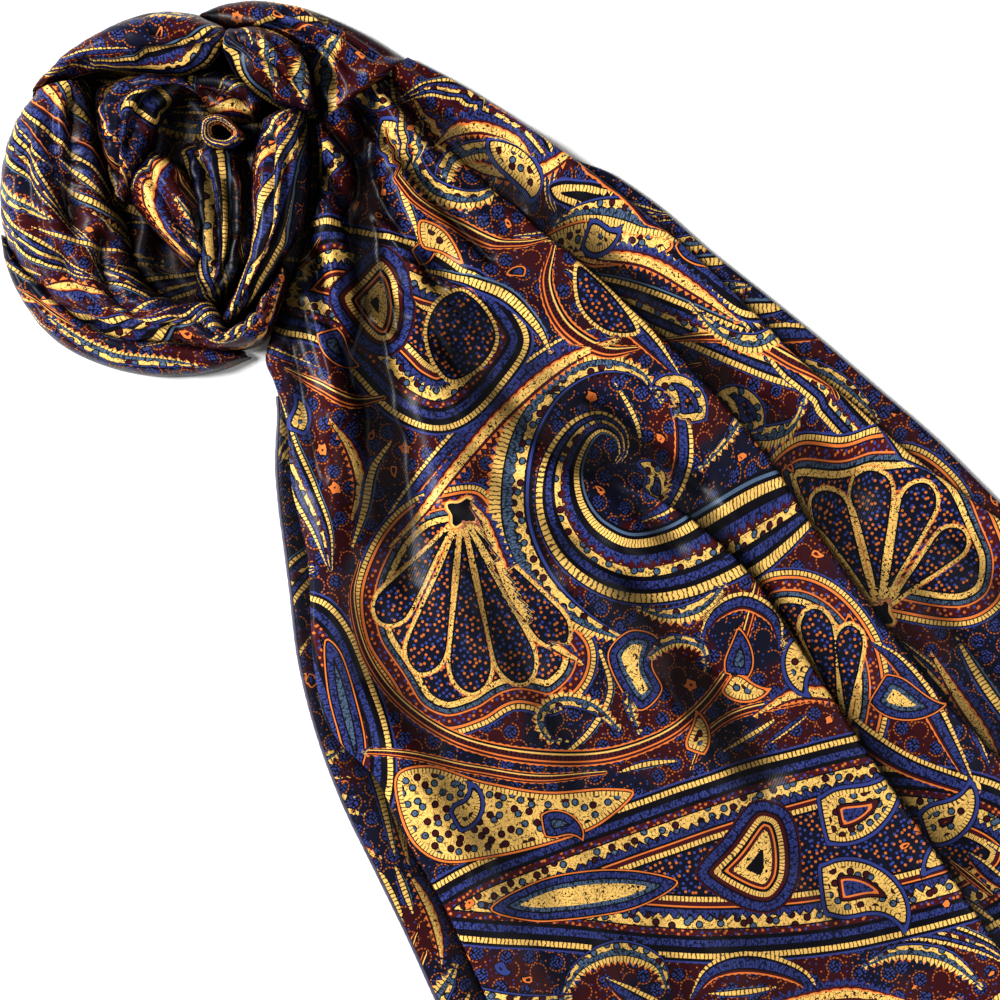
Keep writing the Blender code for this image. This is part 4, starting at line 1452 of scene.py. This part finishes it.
@dataclass(frozen=True)
class Wound:
    """The rosette that the gathered end is wound into."""

    columns: int = 45
    layer_levels: tuple[float, ...] = (0.0036, 0.0072, 0.0110)
    groove_depth: float = 0.0010
    groove_width: float = 0.0006
    gather_pitch: float = 26.0
    crease_gain: float = 1.5
    loop_at: Span = (60.0, 57.0)
    loop_profile: Rows = (
        (0.0, 0.0), (0.0, 0.35), (0.02, 0.70), (0.08, 0.90), (0.30, 1.0), (0.55, 1.0),
        (0.85, 0.93), (1.0, 0.80), (1.04, 0.55), (1.0, 0.30), (1.0, 0.0),
    )
    rim: Rows = (
        (-180, 130), (-120, 130), (-90, 150), (-70, 160), (-57, 175), (-44, 178), (-31, 168),
        (-3, 160), (23, 184), (40, 174), (60, 160), (90, 155), (120, 150), (147, 140), (180, 130),
    )

    @staticmethod
    def frame_rows(stretch: Stretch) -> tuple[np.ndarray, np.ndarray]:
        """Cross rows along a stretch, with its tucked ends.

        Args:
            stretch: The stretch.

        Returns:
            The rows, and each row's place along from 0 to 1.
        """
        table = np.array(stretch.rows, dtype=float)
        way = run(np.hypot(*np.diff((table[:, :2] + table[:, 2:4]) / 2.0, axis=0).T))
        places = np.linspace(0.0, 1.0, max(24, int(way[-1] / 2.2)))
        rows = hermite(way / way[-1], table, places)
        side = rows[:, 2:4] - rows[:, 0:2]
        side /= np.linalg.norm(side, axis=1, keepdims=True)
        ease = np.sin(math.pi * np.clip(places, 0.04, 0.96))[:, None] ** 0.5
        rows[:, 0:2] -= side * stretch.spread[0] * ease
        rows[:, 2:4] += side * stretch.spread[1] * ease
        ends = []
        for end, inner, tuck in zip(rows[[0, -1]], rows[[3, -4]], stretch.tuck):
            away = (end - inner)[:2] / 2.0 + (end - inner)[2:4] / 2.0
            away /= np.hypot(*away)
            block = []
            for d in (0.25, 0.5, 0.75, 1.0):
                a, b = end[:2] + away * tuck * d, end[2:4] + away * tuck * d
                inward = (b - a) * 0.12 * d
                block.append((*(a + inward), *(b - inward), end[4] * (1.0 - 0.65 * smooth(d))))
            ends.append(block)
        return np.vstack((ends[0][::-1], rows, ends[1])), np.pad(places, 4, "edge")

    def stretch(self, stretch: Stretch) -> Piece:
        """The cloth over one stretch, with its creases, gathers and uneven lie.

        Args:
            stretch: The stretch.

        Returns:
            The sheet.
        """
        rows, t = self.frame_rows(stretch)
        a, along = np.linspace(0.0, 1.0, self.columns)[None, :], t[:, None]
        s, h = (1.0 - np.cos(math.pi * a)) / 2.0, np.sin(math.pi * a) ** ROUNDNESS
        u = rows[:, 0:1] + (rows[:, 2:3] - rows[:, 0:1]) * s
        v = rows[:, 1:2] + (rows[:, 3:4] - rows[:, 1:2]) * s
        x, y = spin(u, v)
        grid = np.stack((x * U, y * U, rows[:, 4:5] * h), axis=2)
        normal = outward(grid)
        if normal[:, CROWN, 2].mean() < 0.0:
            normal = -normal
        push = np.zeros(grid.shape[:2])
        for across, swing, start, end, depth, width in stretch.creases:
            part = (along - start) / (end - start)
            centre = across + swing * np.clip(part, 0.0, 1.0)
            window = smooth(part / 0.18) * smooth((1.0 - part) / 0.18)
            fold = np.exp(-(((a - centre) / width) ** 2))
            push += self.crease_gain * depth * window * fold
        way = run(np.hypot(*np.diff(grid[:, 22, :2], axis=0).T)) / U
        reach, arc = np.broadcast_to(way[:, None], push.shape), way_across(grid)
        if stretch.gathers:
            bent = reach + 14.0 * soft_noise(reach, arc, 60.0, 21) + 0.35 * arc
            sharp = 1.0 - np.abs(np.sin(math.pi * bent / self.gather_pitch)) ** 0.7
            push -= stretch.gathers * sharp * smooth(h * 1.4)
        push += 0.00050 * soft_noise(reach, arc * 0.5, 34.0, 31) * h
        push += 0.00018 * soft_noise(reach * 0.6, arc, 12.0, 32) * h
        if stretch.node == "top_strand":
            for level in self.layer_levels:
                groove = np.exp(-(((grid[:, :, 2] - level) / self.groove_width) ** 2))
                push -= self.groove_depth * groove * (a > 0.5)
        grid = grid + normal * push[:, :, None]
        grid[:, :, 2] = np.maximum(grid[:, :, 2], 0.0)
        c, k = math.cos(math.radians(stretch.slant)), math.sin(math.radians(stretch.slant))
        flat = np.stack((c * reach - k * arc, k * reach + c * arc), axis=2) + stretch.print_at
        if outward(grid)[:, CROWN, 2].mean() < 0.0:
            grid, flat = grid[:, ::-1], flat[:, ::-1]
        return Piece(f"{stretch.node}_cloth", grid, stretch.node, flat)

    def loop(self) -> Piece:
        """The small roll that stands with its opening upward.

        Returns:
            The sheet.
        """
        (wide, deep), (hole_wide, hole_deep), high = (22.0, 16.0), (11.0, 7.0), 0.027 * 0.93
        ring = spline(np.array(self.loop_profile), False, 4)
        inward, up = ring[:, 0:1], ring[:, 1:2]
        angle = np.linspace(0.0, 2.0 * math.pi, 96, endpoint=False)
        c, s = math.cos(math.radians(-20.0)), math.sin(math.radians(-20.0))
        wave = 1.0 + 0.05 * np.sin(3.0 * angle + 1.0) + 0.03 * np.sin(5.0 * angle)
        u = (wide + (hole_wide - wide) * inward) * np.cos(angle) * wave
        v = (deep + (hole_deep - deep) * inward) * np.sin(angle) * wave
        x, y = spin(self.loop_at[0] + c * u - s * v, self.loop_at[1] + s * u + c * v)
        swell = 1.0 + 0.10 * np.sin(angle + 0.6) + 0.03 * np.sin(4.0 * angle)
        grid = np.stack((x * U, y * U, np.maximum(up, 0.0) * high * swell), axis=2)
        flat = np.stack((-180.0 + 20.0 * angle + 0 * x, 330.0 + 44.0 * inward + 0 * x), axis=2)
        return Piece("inner_loop_cloth", grid[::-1], "inner_loop", flat[::-1], wrap=True)

    def underlay(self) -> Piece:
        """The cloth that lies below the rosette, dark from painted shade.

        Returns:
            The sheet.
        """
        angle = np.linspace(-180.0, 180.0, 120, endpoint=False)
        share = np.linspace(0.02, 1.0, 26)[:, None]
        reach = share * np.interp(angle, *np.array(self.rim, dtype=float).T)
        u, v = reach * np.cos(np.radians(angle)), reach * np.sin(np.radians(angle))
        x, y = spin(u, v)
        folds = 0.5 + 0.5 * np.sin(u / 8.0 + 1.2 * np.sin(v / 15.0) + v / 21.0)
        z = 0.0008 + 0.0022 * (1.0 - smooth((share - 0.55) / 0.45))
        z = z + 0.0085 * folds**1.5 * (1.0 - smooth((share - 0.45) / 0.40))
        flat = np.stack((-560.0 + u, 230.0 + v), axis=2)
        grid = np.stack((x * U, y * U, z), axis=2)
        return Piece("rosette_underlay", grid, "outer_coil", flat, stands_in=False, wrap=True)


# The finishes.
@dataclass(frozen=True)
class Wire:
    """A shader socket that can be counted with."""

    graph: "Graph"
    socket: Any

    def math(self, operation: str, other: Any = 0.0) -> "Wire":
        """One step of shader maths with another value."""
        return self.graph.add("ShaderNodeMath", {"operation": operation}, {0: self, 1: other})

    def flipped(self, operation: str, other: Any) -> "Wire":
        """The same with the other value first."""
        return self.graph.add("ShaderNodeMath", {"operation": operation}, {0: other, 1: self})

    def __add__(self, other: Any) -> "Wire":
        """Add."""
        return self.math("ADD", other)

    def __sub__(self, other: Any) -> "Wire":
        """Take away."""
        return self.math("SUBTRACT", other)

    def __rsub__(self, other: Any) -> "Wire":
        """Take away, with the wire second."""
        return self.flipped("SUBTRACT", other)

    def __mul__(self, other: Any) -> "Wire":
        """Multiply."""
        return self.math("MULTIPLY", other)

    def __truediv__(self, other: Any) -> "Wire":
        """Divide."""
        return self.math("DIVIDE", other)

    def __rtruediv__(self, other: Any) -> "Wire":
        """Divide, with the wire second."""
        return self.flipped("DIVIDE", other)

    def __lt__(self, other: Any) -> "Wire":
        """1 where it is less."""
        return self.math("LESS_THAN", other)

    def __gt__(self, other: Any) -> "Wire":
        """1 where it is more."""
        return self.math("GREATER_THAN", other)

    __radd__, __rmul__ = __add__, __mul__

    def near(self, value: float, reach: float) -> "Wire":
        """1 where it is within reach of a value."""
        return (self - value).math("ABSOLUTE") < reach

    def share_of(self, pitch: float, shift: Any = 0.0) -> "Wire":
        """The share of its pitch that it has gone through."""
        return (self / pitch + shift).math("FRACT")

    def parts(self) -> list["Wire"]:
        """A vector's three numbers."""
        split = self.graph.node("ShaderNodeSeparateXYZ", {}, {0: self})
        return [Wire(self.graph, output) for output in split.outputs]


class Graph:
    """The nodes of one material."""

    def __init__(self, name: str) -> None:
        """Start an empty material.

        Args:
            name: Its name.
        """
        self.material = bpy.data.materials.new(name)
        self.material.use_nodes = True
        self.tree = self.material.node_tree
        self.tree.nodes.clear()

    def node(self, kind: str, settings: dict[str, Any], inputs: dict[Any, Any]) -> bpy.types.Node:
        """Add a node.

        Args:
            kind: Its type.
            settings: Its own settings, and the stops of a ramp that steps from one to the next.
            inputs: Values or wires for its sockets.

        Returns:
            The node.
        """
        made = self.tree.nodes.new(kind)
        for name, value in settings.items():
            if name == "stops":
                made.color_ramp.interpolation = "CONSTANT"
                spots = made.color_ramp.elements
                spots.remove(spots[-1])
                for start, colour in value:
                    spot = spots.new(start) if start else spots[0]
                    spot.color = colour
            else:
                setattr(made, name, value)
        for name, value in inputs.items():
            if isinstance(value, Wire):
                self.tree.links.new(value.socket, made.inputs[name])
            else:
                made.inputs[name].default_value = value
        return made

    def add(
        self, kind: str, settings: dict[str, Any], inputs: dict[Any, Any], output: Any = 0
    ) -> Wire:
        """Add a node and take one of its outputs."""
        return Wire(self, self.node(kind, settings, inputs).outputs[output])

    def attribute(self, name: str, output: str) -> Wire:
        """Values that a mesh keeps at its points."""
        return self.add("ShaderNodeAttribute", {"attribute_name": name}, {}, output)

    def colour(self, factor: Any, first: Any, second: Any, blend_type: str = "MIX") -> Wire:
        """Mix two colours."""
        settings = {"data_type": "RGBA", "blend_type": blend_type, "clamp_factor": True}
        return self.add("ShaderNodeMix", settings, {0: factor, 6: first, 7: second}, 2)

    def value(self, factor: Any, first: Any, second: Any) -> Wire:
        """Mix two values."""
        return self.add("ShaderNodeMix", {"data_type": "FLOAT"}, {0: factor, 2: first, 3: second})

    def cells(self, place: Wire, size: float, jitter: float = 1.0) -> tuple[Wire, Wire, Wire]:
        """Scattered cells.

        Args:
            place: Where on the cloth.
            size: Size of a cell, in U.
            jitter: How uneven the cells are.

        Returns:
            Distance from the cell's middle, a chance value of the cell, and the middle.
        """
        inputs = {"Vector": place, "Scale": 1.0 / size, "Randomness": jitter}
        made = self.node("ShaderNodeTexVoronoi", {"voronoi_dimensions": "2D"}, inputs)
        distance, colour, middle = (
            Wire(self, made.outputs[name]) for name in ("Distance", "Color", "Position")
        )
        return distance, self.add("ShaderNodeSeparateColor", {}, {0: colour}), middle

    def noise(self, place: Wire, size: float, detail: float = 2.0) -> Wire:
        """Uneven values from 0 to 1."""
        inputs = {"Vector": place, "Scale": 1.0 / size, "Detail": detail}
        return self.add("ShaderNodeTexNoise", {"noise_dimensions": "2D"}, inputs)

    def finish(self, inputs: dict[str, Any]) -> bpy.types.Material:
        """End in one surface shader.

        Args:
            inputs: Values or wires for its sockets.

        Returns:
            The finished material.
        """
        shader = self.add("ShaderNodeBsdfPrincipled", {}, inputs)
        self.node("ShaderNodeOutputMaterial", {}, {"Surface": shader})
        return self.material


@dataclass(frozen=True)
class PrintedSilk:
    """Printed silk twill, with painted shade and highlight of the folds in its colour. Sizes are in
    U.
    """

    name: str = "printed_silk"
    roughness: float = 0.36
    # Painted shade: below 1 it darkens the whole print, as on the cloth below the rosette.
    shade: float = 1.0
    specular: float = 0.11
    tooth: float = 8.0
    zigzag: float = 11.0
    scale: float = 21.0
    serrated: float = 12.5  # between the numbers of the two serrated kinds
    comb: float = 4.2
    hatch: float = 3.1
    crack: float = 3.4
    bead: float = 5.6
    disc: float = 11.0
    scroll: float = 4.4
    dot: float = 2.9
    fleck: float = 6.2

    def build(self) -> bpy.types.Material:
        """Make the material, from the fields that the meshes keep at their points.

        Returns:
            The material.
        """
        g = Graph(self.name)
        place = g.attribute("print_at", "Vector")
        warp = g.noise(place, 16.0)
        depth_band, kind = self.winner(g, warp)
        _, band, way = depth_band.parts()
        ground = self.ground(g, place)
        zigzag = way.share_of(self.zigzag, 0.35 * warp).math("PINGPONG", 0.5) * 4.0 - 1.0
        band = band + band.near(46.0, 4.5) * zigzag * 3.0
        base, stitch = self.bands(g, kind, band)
        base = self.stitched(g, base, stitch, place, way)
        colour = g.colour(kind > 0.5, ground, base)
        # Random tone of the silk, times the painted shade and highlight of the folds and the
        # finish's own painted shade.
        fade, fine = g.noise(place, 150.0, 1.0), g.noise(place, 2.6, 2.0)
        lit = g.attribute("lit", "Fac")
        share = (0.88 + 0.24 * fade) * (0.80 + 0.40 * fine) * lit * self.shade
        tone_and_shade = g.add("ShaderNodeCombineColor", {}, {0: share, 1: share, 2: share})
        x, y, _ = place.parts()
        twill = ((x * 0.9 + y * 0.5) * 2.6).math("SINE") * 0.5 + fine
        weave = {"Strength": 0.25, "Distance": 0.00008, "Height": twill}
        return g.finish(
            {
                "Base Color": g.colour(1.0, colour, tone_and_shade, "MULTIPLY"),
                "Roughness": self.roughness + 0.12 * (fade - 0.5),
                "Specular IOR Level": self.specular,
                "Normal": g.add("ShaderNodeBump", {}, weave, "Normal"),
            }
        )

    def winner(self, g: Graph, warp: Wire) -> tuple[Wire, Wire]:
        """The topmost motif at each place.

        Args:
            g: The material's nodes.
            warp: Uneven values that loosen the outlines a little.

        Returns:
            Its depth, band place and way along as one vector, and its kind.
        """
        best: Any = (0.0, 0.0, 0.0)
        kind: Any = 0.0
        for k in range(LAYERS):
            field_here, here = (g.attribute(f"layer_{k}", name) for name in ("Vector", "Alpha"))
            depth, _, way = field_here.parts()
            saw = way.share_of(self.tooth).math("PINGPONG", 0.5) * 4.0 - 1.0
            tooth = saw * (0.5 + 2.0 * here.near(self.serrated, 1.0))
            top = (depth - 0.6 + tooth + 0.8 * (warp - 0.5)) > 0.0
            inputs = {0: top, 4: best, 5: field_here}
            best = g.add("ShaderNodeMix", {"data_type": "VECTOR"}, inputs, 1)
            kind = g.value(top, kind, here)
        return best, kind

    @staticmethod
    def bands(g: Graph, kind: Wire, band: Wire) -> tuple[Wire, Wire]:
        """Colour and stitch of a motif's band.

        Args:
            g: The material's nodes.
            kind: Number of the motif's family.
            band: Where it lies across the bands.

        Returns:
            The colour and the stitch's number.
        """
        colour: Any = Ink.BLACK.rgba()
        stitch: Any = 1.0
        factor = band / OUTLINE_REACH
        for family in Kind:
            made = g.node("ShaderNodeValToRGB", {"stops": family.stops}, {0: factor})
            chosen = kind.near(float(family.value[0]), 0.5)
            colour = g.colour(chosen, colour, Wire(g, made.outputs["Color"]))
            stitch = g.value(chosen, stitch, Wire(g, made.outputs["Alpha"]))
        return colour, stitch

    def stitched(self, g: Graph, base: Wire, stitch: Wire, place: Wire, way: Wire) -> Wire:
        """What is drawn inside a band.

        Args:
            g: The material's nodes.
            base: The band's own colour.
            stitch: The stitch's number.
            place: Where on the cloth.
            way: Length along the motif's line.

        Returns:
            The colour with its drawing.
        """
        noise = g.noise(place, 5.0)
        comb, hatch, beads, discs, specks = (stitch.near(s.value, 0.07) for s in list(Stitch)[1:])
        black = Ink.BLACK.rgba()
        tick = (way.share_of(self.comb, noise * 0.8) < 0.30) * comb
        line = (way.share_of(self.hatch, noise * 1.6) < 0.36) * hatch
        crack, _, _ = g.cells(place, self.crack, 0.9)
        colour = g.colour(tick * 0.92, base, black)
        colour = g.colour(line * 0.7, colour, Ink.NAVY.rgba())
        colour = g.colour((crack > 0.52) * hatch * 0.85, colour, black)
        far, chance, _ = g.cells(place, self.bead, 0.75)
        bead = g.colour(chance > 0.55, Ink.ORANGE.rgba(0.7), Ink.BLUE.rgba(1.2))
        colour = g.colour((far < 0.26) * beads, colour, bead)
        far, chance, _ = g.cells(place, self.disc, 0.8)
        colour = g.colour((far < 0.36) * discs, colour, black)
        disc = g.colour(chance > 0.55, Ink.SLATE.rgba(), Ink.MAROON.rgba())
        colour = g.colour((far < 0.24) * discs, colour, disc)
        curl = g.noise(place, self.scroll, 1.0).near(0.5, 0.035)
        return g.colour(curl * (specks + discs * 0.8), colour, black)

    def ground(self, g: Graph, place: Wire) -> Wire:
        """The dark field between the motifs: scales drawn with beads.

        Args:
            g: The material's nodes.
            place: Where on the cloth.

        Returns:
            Its colour.
        """
        large = (g.noise(place, 120.0, 1.0) - 0.47) * 14.0
        colour = g.colour(large, Ink.MAROON.rgba(0.62), Ink.NAVY.rgba())
        far, chance, middle = g.cells(place, self.scale, 0.55)
        off = g.add("ShaderNodeVectorMath", {"operation": "SUBTRACT"}, {0: place, 1: middle})
        x, y, _ = off.parts()
        angle = y.math("ARCTAN2", x)
        open_side = (angle + 6.283 * chance).math("COSINE") < 0.45
        ring = far.near(0.40, 0.030) * ((angle * 15.0).math("SINE") > -0.35) * open_side
        curve = far.near(0.25, 0.024) * (1.0 - open_side) * (chance > 0.3)
        colour = g.colour(ring, colour, Ink.ORANGE.rgba(0.50))
        colour = g.colour(curve, colour, Ink.BLUE.rgba(0.8))
        dots_far, _, _ = g.cells(place, self.dot, 0.6)
        dots = g.colour(dots_far < 0.36, Ink.BLACK.rgba(), Ink.BLUE.rgba())
        colour = g.colour((far < 0.31) * (chance > 0.30), colour, dots)
        fleck_far, fleck_chance, _ = g.cells(place, self.fleck, 1.0)
        fleck = g.colour(fleck_chance > 0.6, Ink.BLUE.rgba(), Ink.ORANGE.rgba(0.5))
        return g.colour((fleck_far < 0.15) * (far > 0.48), colour, fleck)


@dataclass(frozen=True)
class RolledHem:
    """The hem's rolled and stitched edge."""

    light: tuple[float, ...] = (0.090, 0.080, 0.150, 1.0)
    dark: tuple[float, ...] = (0.020, 0.014, 0.030, 1.0)
    patch: float = 14.0

    def build(self) -> bpy.types.Material:
        """Make the material.

        Returns:
            The material.
        """
        g = Graph("rolled_hem")
        noise = g.noise(g.attribute("print_at", "Vector"), self.patch)
        colour = g.colour(noise, self.dark, self.light)
        return g.finish({"Base Color": colour, "Roughness": 0.5, "Sheen Weight": 0.2})


@dataclass(frozen=True)
class Paper:
    """The plain pale floor."""

    colour: tuple[float, ...] = (0.92, 0.92, 0.92, 1.0)

    def build(self) -> bpy.types.Material:
        """Make the material."""
        return Graph("pale_floor").finish({"Base Color": self.colour, "Roughness": 0.9})


@dataclass(frozen=True)
class Studio:
    """Floor, lights and camera. Powers are in watts."""

    shift: Vector
    middle: Span = (500.0, 500.0)
    height: float = 1.25
    lens: float = 100.0
    world: float = 0.14
    # Each light's name, place on the plan and height, width and power.
    lights: tuple[tuple[str, tuple[float, float, float], float, float], ...] = (
        ("key", (-3270.0, -470.0, 1.75), 0.8, 104.0),
        ("fill", (3600.0, 1200.0, 1.8), 1.6, 14.0),
    )

    def at(self, px: float, py: float, z: float) -> Vector:
        """A place over the picture's plan, in the model's frame."""
        x, y = plan([(px, py)])[0]
        return Vector((x * U, y * U, z)) + self.shift

    def area_light(self, name: str, spot: Vector, size: float, power: float) -> None:
        """Hang a soft light that looks at the picture's middle.

        Args:
            name: Its name.
            spot: Where it hangs.
            size: Width of its face.
            power: Its power.
        """
        data = bpy.data.lights.new(name, "AREA")
        data.shape, data.size, data.energy = "DISK", size, power
        lamp = bpy.data.objects.new(name, data)
        bpy.context.scene.collection.objects.link(lamp)
        lamp.location = spot
        lamp.rotation_mode = "QUATERNION"
        lamp.rotation_quaternion = (self.at(*self.middle, 0.0) - spot).to_track_quat("-Z", "Y")

    def build(self) -> None:
        """Set the floor, lights and camera."""
        scene = bpy.context.scene
        bpy.ops.mesh.primitive_plane_add(size=8.0, location=(0.0, 0.0, -0.0003))
        floor = bpy.context.object
        floor.name = "floor"
        floor.data.materials.append(Paper().build())
        world = bpy.data.worlds.new("studio")
        world.use_nodes = True
        back = world.node_tree.nodes["Background"]
        back.inputs["Color"].default_value = (1.0, 1.0, 1.0, 1.0)
        back.inputs["Strength"].default_value = self.world
        scene.world = world
        for name, spot, size, power in self.lights:
            self.area_light(name, self.at(*spot), size, power)
        data = bpy.data.cameras.new("camera")
        data.lens, data.sensor_width = self.lens, 36.0
        camera = bpy.data.objects.new("camera", data)
        scene.collection.objects.link(camera)
        camera.location = self.at(*self.middle, self.height)
        camera.rotation_euler = (0.0, 0.0, TURN)
        scene.camera = camera
        scene.view_settings.view_transform = "Standard"
        scene.view_settings.look = "None"


def main() -> None:
    """Build the scarf's looks in order."""
    logging.basicConfig(level=logging.INFO, format="%(message)s")
    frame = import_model()
    laid, wound = Laid(), Wound()
    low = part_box("free_end_hem")[0]
    own_low = min(p[0] for p in laid.section(laid.end))
    shift = Vector((low.x - (laid.end * U + SEAM_GAP), low.y - own_low, 0.0))
    LOG.info("frame: %d nodes, shift %.4f %.4f", len(frame["nodes"]), shift.x, shift.y)
    design = Print().build()
    silk = PrintedSilk().build()
    # A darker copy of the silk: painted shade for the cloth below the rosette.
    shaded = PrintedSilk("shaded_silk", 0.5, 0.85).build()
    hem = RolledHem().build()

    panel, end, under, loop = laid.panel(), laid.end_hem(), wound.underlay(), wound.loop()
    bands = [laid.band(under_layer) for under_layer in laid.unders]
    hems = [laid.side_hem(under_layer) for under_layer in laid.unders]
    stretches = [wound.stretch(stretch) for stretch in STRETCHES]
    sheets = [panel, *bands, end, under, loop, *stretches]
    for piece in sheets + hems:
        piece.grid = piece.grid + np.array(shift)
    # Painted shade and highlight of the folds, from the heights of all the sheets.
    painted_fold_shade = Hollows(sheets)

    panel_cloth = panel.build(silk, design, painted_fold_shade)
    band_cloths = [band.build(silk, design, painted_fold_shade) for band in bands]
    end_roll = end.build(hem)
    edges = [edge.build(hem) for edge in hems]
    panel.area()
    for piece, made, edge in zip(bands, band_cloths, edges):
        span = float(np.ptp(piece.grid[:, :, 0]))
        piece.area() / span

    under_cloth = under.build(shaded, design, painted_fold_shade)
    under.area()
    for piece in stretches:
        made = piece.build(silk, design, painted_fold_shade)
        rim = float(way_across(piece.grid)[:, -1].mean()) * U
        size = (rim, piece.area() / rim)
    made = loop.build(silk, design, painted_fold_shade)
    size = (loop.area() / LOOP_HEIGHT, LOOP_HEIGHT)

    Studio(shift).build()


if __name__ == "__main__":
    main()
